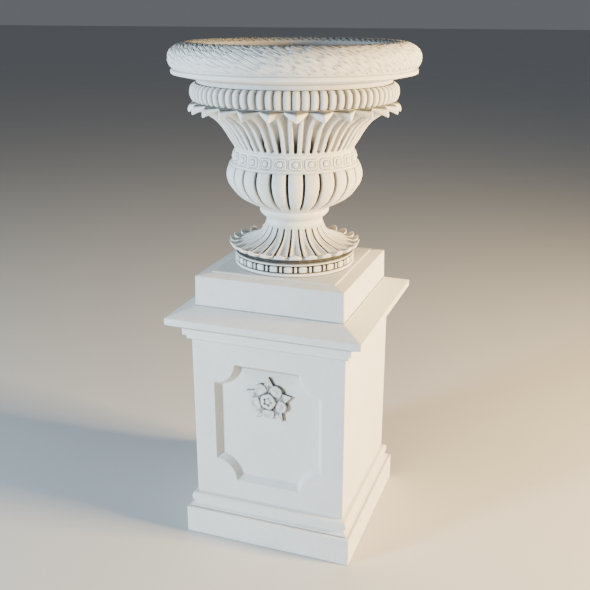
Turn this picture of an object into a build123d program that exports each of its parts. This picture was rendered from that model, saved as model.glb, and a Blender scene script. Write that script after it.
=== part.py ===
"""A carved classical urn on a square pedestal, as separate stone courses and fixings.

Millimetres, +Z up, origin at the centre of the plinth's underside, rosette panel facing -Y.
"""
import math
import os

from build123d import *

os.makedirs("parts", exist_ok=True)

# ---- overall sizes ----
PEDESTAL_WIDTH = 500.0
PEDESTAL_HEIGHT = 804.0
URN_HEIGHT = 604.0
RIM_RADIUS = 334.0

# ---- joints, beds and fits ----
JOINT = 2.0
SETBACK = 4.0
ARRIS = 2.0
DOWEL_FIT = 0.5
END_GAP = 1.0
PIN_FIT = 1.0
THREAD_FIT = 0.05
TUBE_FIT = 1.0

# ---- pedestal levels, as parts of the pedestal's height ----
PLINTH_TOP = 0.1045
BASE_TOP = 0.1617
DIE_TOP = 0.7687
BED_TOP = 0.8109
CORNICE_TOP = 0.8862
ROLL_LOW = 0.1270
ROLL_HIGH = 0.1580
FASCIA_STEP = 0.7870
CORNICE_FACE_LOW = 0.8333
CORNICE_FACE_HIGH = 0.8563
WEATHERING_TOP = 0.8831
BLOCK_EDGE = 0.9904
SEAT_FOOT = 0.9963

# ---- pedestal half widths, as parts of the plinth's width ----
SPLAY_LOW_HALF = 0.484
SPLAY_HIGH_HALF = 0.462
ROLL_HALF = 0.474
DIE_HALF = 0.446
FASCIA_LOW_HALF = 0.468
FASCIA_HIGH_HALF = 0.486
SOFFIT_HALF = 0.492
CORNICE_HALF = 0.5556
WEATHERING_HALF = 0.430
BLOCK_LOW_HALF = 0.426
BLOCK_HIGH_HALF = 0.4226
SEAT_LOW_HALF = 0.356
SEAT_HIGH_HALF = 0.3507
CAVITY_HALF = 0.340

# ---- recessed panel ----
PANEL_HALF_WIDTH = 160.0
PANEL_HALF_HEIGHT = 184.0
PANEL_CENTRE = 0.4627
PANEL_NOTCH = 62.0
PANEL_BEVEL = 15.0
PANEL_DEPTH = 20.0

# ---- rosette ----
ROSETTE_CENTRE = 0.5660
ROSETTE_BACK = 4.0
ROSETTE_DISC = 40.0
ROSETTE_PARTS = 5
SEPAL_REACH = 71.0
SEPAL_WIDTH = 36.0
SEPAL_THICKNESS = 7.0
PETAL_RADIUS = 21.5
PETAL_SPREAD = 34.0
PETAL_THICKNESS = 12.0
PETAL_DISH_RADIUS = 16.0
PETAL_DISH_DEPTH = 5.0
BUD_RADIUS = 20.0
BUD_HEIGHT = 18.0
BUD_HOLE = 8.0
ROSETTE_PIN_RADIUS = 4.0
ROSETTE_PIN_SPREAD = 25.0
ROSETTE_PIN_IN_DIE = 16.0
ROSETTE_PIN_IN_FLOWER = 7.0

# ---- pedestal dowels and the pins under the urn ----
COURSE_DOWEL_RADIUS = 6.0
COURSE_DOWEL_EMBED = 22.0
DOWELS_PER_JOINT = 4
OUTER_DOWELS = 0.392
INNER_DOWELS = 0.315
BLOCK_DOWELS = 0.289
LOCATING_PINS = 3
LOCATING_PIN_RADIUS = 8.0
LOCATING_PIN_EMBED = 40.0
LOCATING_PIN_UPSTAND = 25.0
LOCATING_PIN_CIRCLE = 0.33

# ---- ornament repeats round the urn; a joint between leaves faces the front ----
REPEATS = 26
FRONT = -90.0
STEP = 360.0 / REPEATS
SMALL_LOBES = 3 * REPEATS

# ---- joint levels of the urn, as hundredths of its height ----
FOOT_JOINT = 7.8
STEM_JOINT = 18.9
KNOP_JOINT = 26.3
BOWL_JOINT = 46.4
GIRDLE_JOINT = 53.8
CALYX_JOINT = 74.0
RING_JOINT = 82.1
NECK_JOINT = 87.9

# ---- outlines as (hundredths of the rim radius, hundredths of the urn's height) ----
FOOT_OUTLINE = [
    (49.1, 0.0), (50.3, 0.5), (50.3, 1.1), (49.4, 1.6), (48.4, 1.9), (48.4, 2.1), (50.1, 2.2),
    (50.1, 4.6), (48.4, 4.7), (48.4, 4.9), (49.6, 5.1), (50.1, 5.6), (49.5, 6.1), (48.4, 6.3),
]
FOOT_TOP_RADIUS = 47.7
LEAF_SKIRT_LOW = [(47.9, 8.3), (52.4, 8.9), (54.1, 9.9), (53.0, 10.5)]
LEAF_SKIRT_HIGH = [
    (49.4, 9.9), (46.7, 9.7), (41.3, 10.5), (35.3, 11.8), (30.2, 13.4), (27.2, 15.1), (25.4, 17.0),
]
SKIRT_LOW_RADIUS = 45.5
SKIRT_TOP_RADIUS = 24.3
STEM_OUTLINE = [(23.4, 20.9), (23.9, 21.7), (25.7, 22.5), (27.8, 23.6), (28.7, 24.8)]
STEM_LOW_RADIUS = 23.7
STEM_TOP_RADIUS = 28.5
BOWL_OUTLINE = [
    (32.0, 27.5), (38.0, 29.1), (43.3, 30.8), (47.3, 32.5), (49.9, 34.1), (53.9, 37.4), (55.8, 40.7),
    (55.8, 42.4), (55.2, 44.0),
]
BOWL_LOW_RADIUS = 29.6
BOWL_TOP_RADIUS = 53.7
GIRDLE_OUTLINE = [(51.3, 47.4), (50.9, 48.5), (50.7, 50.0), (49.7, 51.5), (48.8, 52.6)]
GIRDLE_LOW_RADIUS = 52.6
GIRDLE_TOP_RADIUS = 48.6
CALYX_OUTLINE = [
    (50.6, 54.8), (53.4, 57.3), (56.6, 60.6), (60.9, 63.9), (65.6, 66.4), (72.0, 68.2), (82.0, 69.6),
    (85.2, 70.5), (85.9, 71.4), (84.4, 72.8),
]
CALYX_LOW_RADIUS = 48.9
CALYX_TOP_RADIUS = 82.0
RING_OUTLINE = [(82.6, 75.5), (83.4, 77.0), (83.5, 78.2), (83.0, 79.8), (81.6, 81.1)]
RING_LOW_RADIUS = 80.8
RING_TOP_RADIUS = 79.3
NECK_OUTLINE = [
    (78.1, 83.6), (79.3, 84.0), (84.4, 84.6), (91.4, 85.4), (96.4, 86.2), (97.3, 86.8),
]
NECK_LOW_RADIUS = 77.8
NECK_TOP_RADIUS = 96.9
RIM_OUTLINE = [
    (97.3, 88.8), (99.1, 90.3), (100.0, 92.2), (99.5, 94.2), (98.0, 95.9), (95.0, 97.4), (91.6, 98.4),
    (87.2, 99.2), (83.0, 99.4), (79.8, 99.2), (77.8, 98.5),
]
RIM_LOW_RADIUS = 95.8
RIM_MOUTH_RADIUS = 77.0
RIM_MOUTH_LEVEL = 97.2

# ---- planting space, same measures ----
FLOOR_LEVEL = 32.8
BOWL_INSIDE = [(41.0, 44.0), (43.6, 41.5), (43.6, 39.0), (41.0, 36.0), (31.5, 32.8)]
BOWL_MOUTH_RADIUS = 41.0
GIRDLE_INSIDE_RADIUS = 41.0
CALYX_INSIDE = [(68.5, 73.0), (56.9, 68.0), (48.5, 62.5), (42.5, 56.0)]
CALYX_MOUTH_RADIUS = 69.5
RING_INSIDE_RADIUS = 69.5
NECK_INSIDE_RADIUS = 70.6
RIM_INSIDE_RADIUS = 71.0

# ---- carving ----
BLOCK_GAP = 3.3
BLOCK_GAP_DEPTH = 6.0
BLOCK_GAP_ANGLE = 4.31
BLOCK_BAND_LOW = 2.0
BLOCK_BAND_HIGH = 4.8
SKIRT_SLIT_WIDTH = 4.0
SKIRT_SLIT_DEPTH = 7.0
SKIRT_NOTCH_ROOT = 46.0
SKIRT_NOTCH_HALF = 5.0
BOWL_SLIT_WIDTH = 5.0
BOWL_SLIT_DEPTH = 9.0
GIRDLE_SLIT_WIDTH = 3.0
GIRDLE_SLIT_DEPTH = 2.5
BOSS_RADIUS = 6.5
BOSS_UPSTAND = 2.5
BOSS_LEVEL = 49.2
FLUTE_LOW = (49.6, 55.4)
FLUTE_HIGH = (65.8, 66.5)
FLUTE_LOW_RADIUS = 5.0
FLUTE_HIGH_RADIUS = 10.0
LEAF_GROOVE_WIDTH = 3.0
LEAF_GROOVE_DEPTH = 4.0
TIP_ROOT = 75.5
TIP_FLAT = 4.0
SMALL_GROOVE_RADIUS = 3.4
ROPE_GROOVE_RADIUS = 4.0
ROPE_PATH = [
    (95.0, 87.4, 30.0), (99.4, 90.2, 24.0), (100.3, 92.6, 18.0), (98.7, 95.6, 11.0), (93.4, 98.5, 4.0),
    (85.4, 99.6, -3.0), (79.0, 99.2, -8.0), (76.0, 97.9, -11.0),
]

# ---- urn dowels and the hollow tie ----
VESSEL_DOWEL_RADIUS = 4.0
VESSEL_DOWEL_EMBED = 11.0
FOOT_BORE = 17.9
LOW_DOWELS = 33.0
WAIST_DOWELS = 44.9
HIGH_DOWELS = 72.3
NECK_DOWELS = 74.0
TUBE_RADIUS = 16.0
TUBE_WALL = 4.0
TUBE_TAIL = 8.0
FLANGE_RADIUS = 38.0
FLANGE_THICKNESS = 6.0
SEAL_RADIUS = 36.0
SEAL_THICKNESS = 3.0
WASHER_RADIUS = 44.0
WASHER_THICKNESS = 5.0
NUT_RADIUS = 26.0
NUT_THICKNESS = 14.0
NUT_SIDES = 6
WEEP_WIDTH = 16.0
WEEP_HEIGHT = 6.0
WEEPS = 4
WEEP_START = 45.0

# ---- reach of cutting tools beyond the stone ----
OVERCUT = 12.0


def ped(level):
    """Height of a pedestal level."""
    return level * PEDESTAL_HEIGHT


def half(part):
    """Half width of a pedestal course."""
    return part * PEDESTAL_WIDTH


def rad(radius):
    """Radius on the urn."""
    return radius * RIM_RADIUS / 100.0


def lev(level):
    """Height above the ground of a level on the urn."""
    return PEDESTAL_HEIGHT + level * URN_HEIGHT / 100.0


def spots(points):
    """Outline points in millimetres."""
    return [(rad(radius), lev(level)) for radius, level in points]


def frusta(steps):
    """Stack square frusta (low half, high half, low height, high height) into a course."""
    with BuildPart() as course:
        for low_half, high_half, low_z, high_z in steps:
            with BuildSketch(Plane.XY.offset(low_z)):
                Rectangle(2 * low_half, 2 * low_half)
            with BuildSketch(Plane.XY.offset(high_z)):
                Rectangle(2 * high_half, 2 * high_half)
            loft(ruled=True)
    return course


def square_dowels(spread, low_z, length, radius):
    """Four upright cylinders on the corners of a square."""
    with BuildPart() as dowels:
        with BuildSketch(Plane.XY.offset(low_z)):
            with GridLocations(2 * spread, 2 * spread, 2, 2):
                Circle(radius)
        extrude(amount=length)
    return dowels


def dowel_sockets(joint, spread):
    """Blind holes above and below a pedestal joint; the lower end carries the dowel."""
    low_z = joint - JOINT / 2 - COURSE_DOWEL_EMBED
    length = 2 * COURSE_DOWEL_EMBED + JOINT + END_GAP
    return square_dowels(spread, low_z, length, COURSE_DOWEL_RADIUS + DOWEL_FIT)


def square_bed(joint, outer, inner, spread):
    """Mortar bed centred on a joint, set back from the faces and holed for the dowels."""
    with BuildPart() as bed:
        with BuildSketch(Plane.XY.offset(joint - JOINT / 2)):
            Rectangle(2 * (outer - SETBACK), 2 * (outer - SETBACK))
            if inner:
                Rectangle(2 * inner, 2 * inner, mode=Mode.SUBTRACT)
            with GridLocations(2 * spread, 2 * spread, 2, 2):
                Circle(COURSE_DOWEL_RADIUS + DOWEL_FIT, mode=Mode.SUBTRACT)
        extrude(amount=JOINT)
    return bed


def turned(outline, back):
    """Revolve a smooth outline, closed by straight lines through the back points."""
    with BuildPart() as piece:
        with BuildSketch(Plane.XZ):
            with BuildLine():
                Spline(*outline)
                Polyline(outline[-1], *back, outline[0])
            make_face()
        revolve(axis=Axis.Z)
    return piece


def round_dowels(joint, circle, radius, low_extra, high_extra):
    """Upright cylinders on a circle, through one joint of the urn."""
    with BuildPart() as dowels:
        with BuildSketch(Plane.XY.offset(joint - JOINT / 2 - low_extra)):
            with PolarLocations(circle, DOWELS_PER_JOINT, start_angle=WEEP_START + STEP):
                Circle(radius)
        extrude(amount=low_extra + JOINT + high_extra)
    return dowels


def round_sockets(joint, circle):
    """Blind holes above and below one joint of the urn."""
    return round_dowels(
        joint, circle, VESSEL_DOWEL_RADIUS + DOWEL_FIT, VESSEL_DOWEL_EMBED, VESSEL_DOWEL_EMBED + END_GAP
    )


def round_bed(joint, outer, inner, circle):
    """Mortar ring centred on a joint of the urn, holed for the dowels where it has them."""
    with BuildPart() as bed:
        with BuildSketch(Plane.XY.offset(joint - JOINT / 2)):
            Circle(outer - SETBACK)
            Circle(inner, mode=Mode.SUBTRACT)
            if circle:
                with PolarLocations(circle, DOWELS_PER_JOINT, start_angle=WEEP_START + STEP):
                    Circle(VESSEL_DOWEL_RADIUS + DOWEL_FIT, mode=Mode.SUBTRACT)
        extrude(amount=JOINT)
    return bed


def slit(outline, inward, downward, width):
    """Upright slab along an outline, reaching into the stone by an inward and a downward depth."""
    over_in = OVERCUT if inward else 0
    over_down = OVERCUT if downward else 0
    inner = [(radius - inward, height - downward) for radius, height in outline]
    outer = [(radius + over_in, height + over_down) for radius, height in outline]
    with BuildPart() as cut:
        with BuildSketch(Plane.XZ):
            with BuildLine():
                Polyline(*inner, *reversed(outer), close=True)
            make_face()
        extrude(amount=width / 2, both=True)
    return cut


# ---- pedestal joint heights ----
plinth_joint = ped(PLINTH_TOP)
base_joint = ped(BASE_TOP)
die_joint = ped(DIE_TOP)
bed_joint = ped(BED_TOP)
cornice_joint = ped(CORNICE_TOP)
outer_spread = half(OUTER_DOWELS)
inner_spread = half(INNER_DOWELS)
block_spread = half(BLOCK_DOWELS)
die_face = half(DIE_HALF)
panel_floor = die_face - PANEL_DEPTH
rosette_height = ped(ROSETTE_CENTRE)

# ---- sockets cut in the courses ----
plinth_sockets = dowel_sockets(plinth_joint, inner_spread)
base_sockets = dowel_sockets(base_joint, outer_spread)
die_sockets = dowel_sockets(die_joint, outer_spread)
bed_sockets = dowel_sockets(bed_joint, inner_spread)
cornice_sockets = dowel_sockets(cornice_joint, block_spread)

# ---- plinth ----
with BuildPart() as plinth:
    with BuildSketch():
        Rectangle(PEDESTAL_WIDTH, PEDESTAL_WIDTH)
    extrude(amount=plinth_joint - JOINT / 2)
    fillet(plinth.edges().filter_by(Axis.Z), ARRIS)
    add(plinth_sockets.part, mode=Mode.SUBTRACT)

# ---- base moulding: splay under a rolled edge ----
base_slopes = frusta(
    [
        (half(SPLAY_LOW_HALF), half(SPLAY_HIGH_HALF), plinth_joint + JOINT / 2, ped(ROLL_LOW)),
        (die_face, die_face, ped(ROLL_HIGH), base_joint - JOINT / 2),
    ]
)
with BuildPart() as base_moulding:
    with BuildSketch(Plane.XY.offset(ped(ROLL_LOW))):
        Rectangle(2 * half(ROLL_HALF), 2 * half(ROLL_HALF))
    extrude(amount=ped(ROLL_HIGH) - ped(ROLL_LOW))
    roll_edges = base_moulding.edges().filter_by(Axis.Z, reverse=True)
    fillet(roll_edges, (ped(ROLL_HIGH) - ped(ROLL_LOW)) / 2 - DOWEL_FIT)
    add(base_slopes.part)
    add(plinth_sockets.part, mode=Mode.SUBTRACT)
    add(base_sockets.part, mode=Mode.SUBTRACT)

# ---- die: hollow shaft with a notched, bevelled panel in its front ----
with BuildPart() as rosette_pins:
    with BuildSketch(Plane.XZ.offset(panel_floor - ROSETTE_PIN_IN_DIE)):
        with Locations((-ROSETTE_PIN_SPREAD, rosette_height), (ROSETTE_PIN_SPREAD, rosette_height)):
            Circle(ROSETTE_PIN_RADIUS)
    extrude(amount=ROSETTE_PIN_IN_DIE + ROSETTE_PIN_IN_FLOWER)
rosette_pins.part.label = "rosette_pins"
export_step(rosette_pins.part, "parts/rosette_pins.step")

with BuildPart() as rosette_sockets:
    with BuildSketch(Plane.XZ.offset(panel_floor - ROSETTE_PIN_IN_DIE)):
        with Locations((-ROSETTE_PIN_SPREAD, rosette_height), (ROSETTE_PIN_SPREAD, rosette_height)):
            Circle(ROSETTE_PIN_RADIUS + DOWEL_FIT)
    extrude(amount=ROSETTE_PIN_IN_DIE + ROSETTE_PIN_IN_FLOWER + END_GAP)

with BuildPart() as die:
    with BuildSketch(Plane.XY.offset(base_joint + JOINT / 2)):
        Rectangle(2 * die_face, 2 * die_face)
    extrude(amount=die_joint - base_joint - JOINT)
    fillet(die.edges().filter_by(Axis.Z), ARRIS)
    with BuildSketch(Plane.XY.offset(base_joint)):
        Rectangle(2 * half(CAVITY_HALF), 2 * half(CAVITY_HALF))
    extrude(amount=die_joint - base_joint, mode=Mode.SUBTRACT)
    for inset, plane_gap in ((0, 0), (PANEL_BEVEL, PANEL_DEPTH)):
        with BuildSketch(Plane.XZ.offset(die_face - plane_gap)):
            with Locations((0, ped(PANEL_CENTRE))):
                Rectangle(2 * (PANEL_HALF_WIDTH - inset), 2 * (PANEL_HALF_HEIGHT - inset))
                with GridLocations(2 * PANEL_HALF_WIDTH, 2 * PANEL_HALF_HEIGHT, 2, 2):
                    Circle(PANEL_NOTCH + inset, mode=Mode.SUBTRACT)
    loft(ruled=True, mode=Mode.SUBTRACT)
    add(base_sockets.part, mode=Mode.SUBTRACT)
    add(die_sockets.part, mode=Mode.SUBTRACT)
    add(rosette_sockets.part, mode=Mode.SUBTRACT)

# ---- bed moulding: two stepped fascias ----
bed_moulding = frusta(
    [
        (half(FASCIA_LOW_HALF), half(FASCIA_LOW_HALF), die_joint + JOINT / 2, ped(FASCIA_STEP)),
        (half(FASCIA_HIGH_HALF), half(FASCIA_HIGH_HALF), ped(FASCIA_STEP), bed_joint - JOINT / 2),
    ]
)
with bed_moulding:
    add(die_sockets.part, mode=Mode.SUBTRACT)
    add(bed_sockets.part, mode=Mode.SUBTRACT)

# ---- cornice: splayed soffit, upright face and weathered top ----
cornice = frusta(
    [
        (half(SOFFIT_HALF), half(CORNICE_HALF), bed_joint + JOINT / 2, ped(CORNICE_FACE_LOW)),
        (half(CORNICE_HALF), half(CORNICE_HALF), ped(CORNICE_FACE_LOW), ped(CORNICE_FACE_HIGH)),
        (half(CORNICE_HALF), half(WEATHERING_HALF), ped(CORNICE_FACE_HIGH), ped(WEATHERING_TOP)),
        (half(WEATHERING_HALF), half(WEATHERING_HALF), ped(WEATHERING_TOP), cornice_joint - JOINT / 2),
    ]
)
with cornice:
    add(bed_sockets.part, mode=Mode.SUBTRACT)
    add(cornice_sockets.part, mode=Mode.SUBTRACT)

# ---- pins that keep the urn on its seat ----
with BuildPart() as locating_pins:
    with BuildSketch(Plane.XY.offset(PEDESTAL_HEIGHT - LOCATING_PIN_EMBED)):
        with PolarLocations(LOCATING_PIN_CIRCLE * RIM_RADIUS, LOCATING_PINS, start_angle=FRONT):
            Circle(LOCATING_PIN_RADIUS)
    extrude(amount=LOCATING_PIN_EMBED + LOCATING_PIN_UPSTAND)
    top_edges = locating_pins.edges().group_by(Axis.Z)[-1]
    chamfer(top_edges, ARRIS)

with BuildPart() as pin_sockets:
    with BuildSketch(Plane.XY.offset(PEDESTAL_HEIGHT - LOCATING_PIN_EMBED)):
        with PolarLocations(LOCATING_PIN_CIRCLE * RIM_RADIUS, LOCATING_PINS, start_angle=FRONT):
            Circle(LOCATING_PIN_RADIUS + PIN_FIT)
    extrude(amount=LOCATING_PIN_EMBED + LOCATING_PIN_UPSTAND + PIN_FIT)

# ---- seat block: plain faces, sloping margin and raised seat ----
seat_block = frusta(
    [
        (half(BLOCK_LOW_HALF), half(BLOCK_HIGH_HALF), cornice_joint + JOINT / 2, ped(BLOCK_EDGE)),
        (half(BLOCK_HIGH_HALF), half(SEAT_LOW_HALF), ped(BLOCK_EDGE), ped(SEAT_FOOT)),
        (half(SEAT_LOW_HALF), half(SEAT_HIGH_HALF), ped(SEAT_FOOT), PEDESTAL_HEIGHT),
    ]
)
with seat_block:
    add(cornice_sockets.part, mode=Mode.SUBTRACT)
    add(locating_pins.part, mode=Mode.SUBTRACT)

# ---- rosette ----
rosette_plane = Plane.XZ.offset(panel_floor)
with BuildPart() as rosette:
    with BuildSketch(rosette_plane):
        with Locations((0, rosette_height)):
            Circle(ROSETTE_DISC)
    extrude(amount=ROSETTE_BACK)
    with BuildSketch(rosette_plane):
        with Locations((0, rosette_height)):
            with PolarLocations(0, ROSETTE_PARTS, start_angle=-FRONT):
                Polygon((0, -SEPAL_WIDTH / 2), (SEPAL_REACH, 0), (0, SEPAL_WIDTH / 2), align=None)
    extrude(amount=SEPAL_THICKNESS)
    with BuildSketch(rosette_plane):
        with Locations((0, rosette_height)):
            with PolarLocations(PETAL_SPREAD, ROSETTE_PARTS, start_angle=FRONT):
                Circle(PETAL_RADIUS)
    extrude(amount=PETAL_THICKNESS)
    with BuildSketch(rosette_plane.offset(PETAL_THICKNESS)):
        with Locations((0, rosette_height)):
            with PolarLocations(PETAL_SPREAD, ROSETTE_PARTS, start_angle=FRONT):
                Circle(PETAL_DISH_RADIUS)
    extrude(amount=-PETAL_DISH_DEPTH, mode=Mode.SUBTRACT)
    with BuildSketch(rosette_plane):
        with Locations((0, rosette_height)):
            Circle(BUD_RADIUS)
    extrude(amount=BUD_HEIGHT)
    with BuildSketch(rosette_plane.offset(BUD_HEIGHT)):
        with Locations((0, rosette_height)):
            RegularPolygon(BUD_HOLE, ROSETTE_PARTS)
    extrude(amount=-PETAL_DISH_DEPTH, mode=Mode.SUBTRACT)
    add(rosette_sockets.part, mode=Mode.SUBTRACT)

# ---- pedestal dowels, all alike ----
dowel_length = 2 * COURSE_DOWEL_EMBED + JOINT
dowel_sites = (
    (plinth_joint, inner_spread),
    (base_joint, outer_spread),
    (die_joint, outer_spread),
    (bed_joint, inner_spread),
    (cornice_joint, block_spread),
)
course_dowels = BuildPart()
for joint, spread in dowel_sites:
    four = square_dowels(spread, joint - JOINT / 2 - COURSE_DOWEL_EMBED, dowel_length, COURSE_DOWEL_RADIUS)
    with course_dowels:
        add(four.part)

# ---- pedestal mortar beds ----
plinth_mortar = square_bed(plinth_joint, half(SPLAY_LOW_HALF), 0, inner_spread)
base_mortar = square_bed(base_joint, die_face, half(CAVITY_HALF), outer_spread)
die_mortar = square_bed(die_joint, die_face, half(CAVITY_HALF), outer_spread)
cornice_mortar = square_bed(bed_joint, half(FASCIA_HIGH_HALF), 0, inner_spread)
block_mortar = square_bed(cornice_joint, half(BLOCK_LOW_HALF), 0, block_spread)

# ---- urn joint heights ----
foot_joint = lev(FOOT_JOINT)
stem_joint = lev(STEM_JOINT)
knop_joint = lev(KNOP_JOINT)
bowl_joint = lev(BOWL_JOINT)
girdle_joint = lev(GIRDLE_JOINT)
calyx_joint = lev(CALYX_JOINT)
ring_joint = lev(RING_JOINT)
neck_joint = lev(NECK_JOINT)
foot_bore = rad(FOOT_BORE)
tube_hole = TUBE_RADIUS + TUBE_FIT
bowl_floor = lev(FLOOR_LEVEL)

# ---- sockets and bores in the urn ----
foot_sockets = round_sockets(foot_joint, rad(LOW_DOWELS))
bowl_sockets = round_sockets(bowl_joint, rad(WAIST_DOWELS))
girdle_sockets = round_sockets(girdle_joint, rad(WAIST_DOWELS))
calyx_sockets = round_sockets(calyx_joint, rad(HIGH_DOWELS))
ring_sockets = round_sockets(ring_joint, rad(NECK_DOWELS))
neck_sockets = round_sockets(neck_joint, rad(NECK_DOWELS))

# ---- foot ring: beads, and a band of long and short blocks ----
foot_face = spots(FOOT_OUTLINE)
with BuildPart() as block_gap:
    with BuildSketch(Plane.XY.offset(lev(BLOCK_BAND_LOW))):
        with Locations((foot_face[0][0] + OVERCUT, 0)):
            Rectangle(2 * (OVERCUT + BLOCK_GAP_DEPTH), BLOCK_GAP)
    extrude(amount=lev(BLOCK_BAND_HIGH) - lev(BLOCK_BAND_LOW))

with BuildPart() as foot_ring:
    with BuildSketch(Plane.XZ):
        with BuildLine():
            foot_top = foot_joint - JOINT / 2
            foot_back = [(rad(FOOT_TOP_RADIUS), foot_top), (foot_bore, foot_top), (foot_bore, PEDESTAL_HEIGHT)]
            Polyline(*foot_face, *foot_back, close=True)
        make_face()
    revolve(axis=Axis.Z)
    for side in (-BLOCK_GAP_ANGLE, BLOCK_GAP_ANGLE):
        with PolarLocations(0, REPEATS, start_angle=FRONT + side):
            add(block_gap.part, mode=Mode.SUBTRACT)
    with BuildSketch(Plane.XY.offset(PEDESTAL_HEIGHT)):
        with PolarLocations(rad(FOOT_OUTLINE[1][0]), WEEPS, start_angle=WEEP_START):
            Rectangle(2 * (foot_face[1][0] - foot_bore + OVERCUT), WEEP_WIDTH)
    extrude(amount=WEEP_HEIGHT, mode=Mode.SUBTRACT)
    add(pin_sockets.part, mode=Mode.SUBTRACT)
    add(foot_sockets.part, mode=Mode.SUBTRACT)

# ---- foot leaves: skirt of long leaves with turned-up tips ----
skirt_low = spots(LEAF_SKIRT_LOW)
skirt_high = spots(LEAF_SKIRT_HIGH)
skirt_slit = slit([skirt_low[2], *skirt_high], 0, SKIRT_SLIT_DEPTH, SKIRT_SLIT_WIDTH)
with BuildPart() as skirt_notch:
    with BuildSketch(Plane.XY.offset(foot_joint - JOINT / 2)):
        with BuildLine():
            tip_reach = skirt_low[2][0] + OVERCUT
            notch_root = (rad(SKIRT_NOTCH_ROOT), 0)
            Polyline(notch_root, (tip_reach, SKIRT_NOTCH_HALF), (tip_reach, -SKIRT_NOTCH_HALF), close=True)
        make_face()
    extrude(amount=skirt_low[2][1] - foot_joint + OVERCUT)

with BuildPart() as foot_leaves:
    with BuildSketch(Plane.XZ):
        with BuildLine():
            skirt_foot = foot_joint + JOINT / 2
            skirt_top = stem_joint - JOINT / 2
            Polyline((rad(SKIRT_LOW_RADIUS), skirt_foot), *skirt_low, skirt_high[0])
            Spline(*skirt_high, (rad(SKIRT_TOP_RADIUS), skirt_top))
            Polyline((rad(SKIRT_TOP_RADIUS), skirt_top), (tube_hole, skirt_top), (tube_hole, skirt_foot),
                     (rad(SKIRT_LOW_RADIUS), skirt_foot))
        make_face()
    revolve(axis=Axis.Z)
    with PolarLocations(0, REPEATS, start_angle=FRONT):
        add(skirt_slit.part, mode=Mode.SUBTRACT)
    with PolarLocations(0, REPEATS, start_angle=FRONT):
        add(skirt_notch.part, mode=Mode.SUBTRACT)
    add(foot_sockets.part, mode=Mode.SUBTRACT)

# ---- stem with its cushion knop ----
stem_low = (rad(STEM_LOW_RADIUS), stem_joint + JOINT / 2)
stem_high = (rad(STEM_TOP_RADIUS), knop_joint - JOINT / 2)
stem = turned(
    [stem_low, *spots(STEM_OUTLINE), stem_high], [(tube_hole, stem_high[1]), (tube_hole, stem_low[1])]
)

# ---- bowl: flat-convex lobes parted by deep slits, with the floor of the planting space ----
bowl_low = (rad(BOWL_LOW_RADIUS), knop_joint + JOINT / 2)
bowl_high = (rad(BOWL_TOP_RADIUS), bowl_joint - JOINT / 2)
bowl_face = [bowl_low, *spots(BOWL_OUTLINE), bowl_high]
bowl_slit = slit(spots(BOWL_OUTLINE), BOWL_SLIT_DEPTH, 0, BOWL_SLIT_WIDTH)
lobed_bowl = turned(
    bowl_face,
    [
        (rad(BOWL_MOUTH_RADIUS), bowl_high[1]),
        *spots(BOWL_INSIDE),
        (tube_hole, bowl_floor),
        (tube_hole, bowl_low[1]),
    ],
)
with lobed_bowl:
    with PolarLocations(0, REPEATS, start_angle=FRONT):
        add(bowl_slit.part, mode=Mode.SUBTRACT)
    add(bowl_sockets.part, mode=Mode.SUBTRACT)

# ---- girdle of framed bosses ----
girdle_low = (rad(GIRDLE_LOW_RADIUS), bowl_joint + JOINT / 2)
girdle_high = (rad(GIRDLE_TOP_RADIUS), girdle_joint - JOINT / 2)
girdle_inside = rad(GIRDLE_INSIDE_RADIUS)
girdle_slit = slit([girdle_low, *spots(GIRDLE_OUTLINE[:3])], GIRDLE_SLIT_DEPTH, 0, GIRDLE_SLIT_WIDTH)
boss_face = rad(GIRDLE_OUTLINE[1][0]) + BOSS_UPSTAND
with BuildPart() as boss:
    with BuildSketch(Plane.YZ.offset(girdle_inside + BOSS_UPSTAND)):
        with Locations((0, lev(BOSS_LEVEL))):
            Circle(BOSS_RADIUS)
    extrude(amount=boss_face - girdle_inside - BOSS_UPSTAND)
girdle = turned(
    [girdle_low, *spots(GIRDLE_OUTLINE), girdle_high],
    [(girdle_inside, girdle_high[1]), (girdle_inside, girdle_low[1])],
)
with girdle:
    with PolarLocations(0, REPEATS, start_angle=FRONT):
        add(girdle_slit.part, mode=Mode.SUBTRACT)
    with PolarLocations(0, REPEATS, start_angle=FRONT + STEP / 2):
        add(boss.part)
    add(bowl_sockets.part, mode=Mode.SUBTRACT)
    add(girdle_sockets.part, mode=Mode.SUBTRACT)

# ---- calyx: round-ended flutes, and leaf tips parted by deep notches ----
calyx_low = (rad(CALYX_LOW_RADIUS), girdle_joint + JOINT / 2)
calyx_high = (rad(CALYX_TOP_RADIUS), calyx_joint - JOINT / 2)
flute_low = spots([FLUTE_LOW])[0]
flute_high = spots([FLUTE_HIGH])[0]
flute_run = math.hypot(flute_high[0] - flute_low[0], flute_high[1] - flute_low[1])
flute_way = ((flute_high[0] - flute_low[0]) / flute_run, 0, (flute_high[1] - flute_low[1]) / flute_run)
with BuildPart() as flute:
    with BuildSketch(Plane(origin=(flute_low[0], 0, flute_low[1]), z_dir=flute_way)):
        Circle(FLUTE_LOW_RADIUS)
    with BuildSketch(Plane(origin=(flute_high[0], 0, flute_high[1]), z_dir=flute_way)):
        Circle(FLUTE_HIGH_RADIUS)
    loft(ruled=True)
    with Locations((flute_low[0], 0, flute_low[1])):
        Sphere(FLUTE_LOW_RADIUS)
    with Locations((flute_high[0], 0, flute_high[1])):
        Sphere(FLUTE_HIGH_RADIUS)
leaf_groove = slit(spots(CALYX_OUTLINE[:5]), LEAF_GROOVE_DEPTH, 0, LEAF_GROOVE_WIDTH)
tip_outer = max(radius for radius, level in spots(CALYX_OUTLINE)) + OVERCUT
tip_half = tip_outer * math.tan(math.radians(STEP / 2)) - TIP_FLAT
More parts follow.
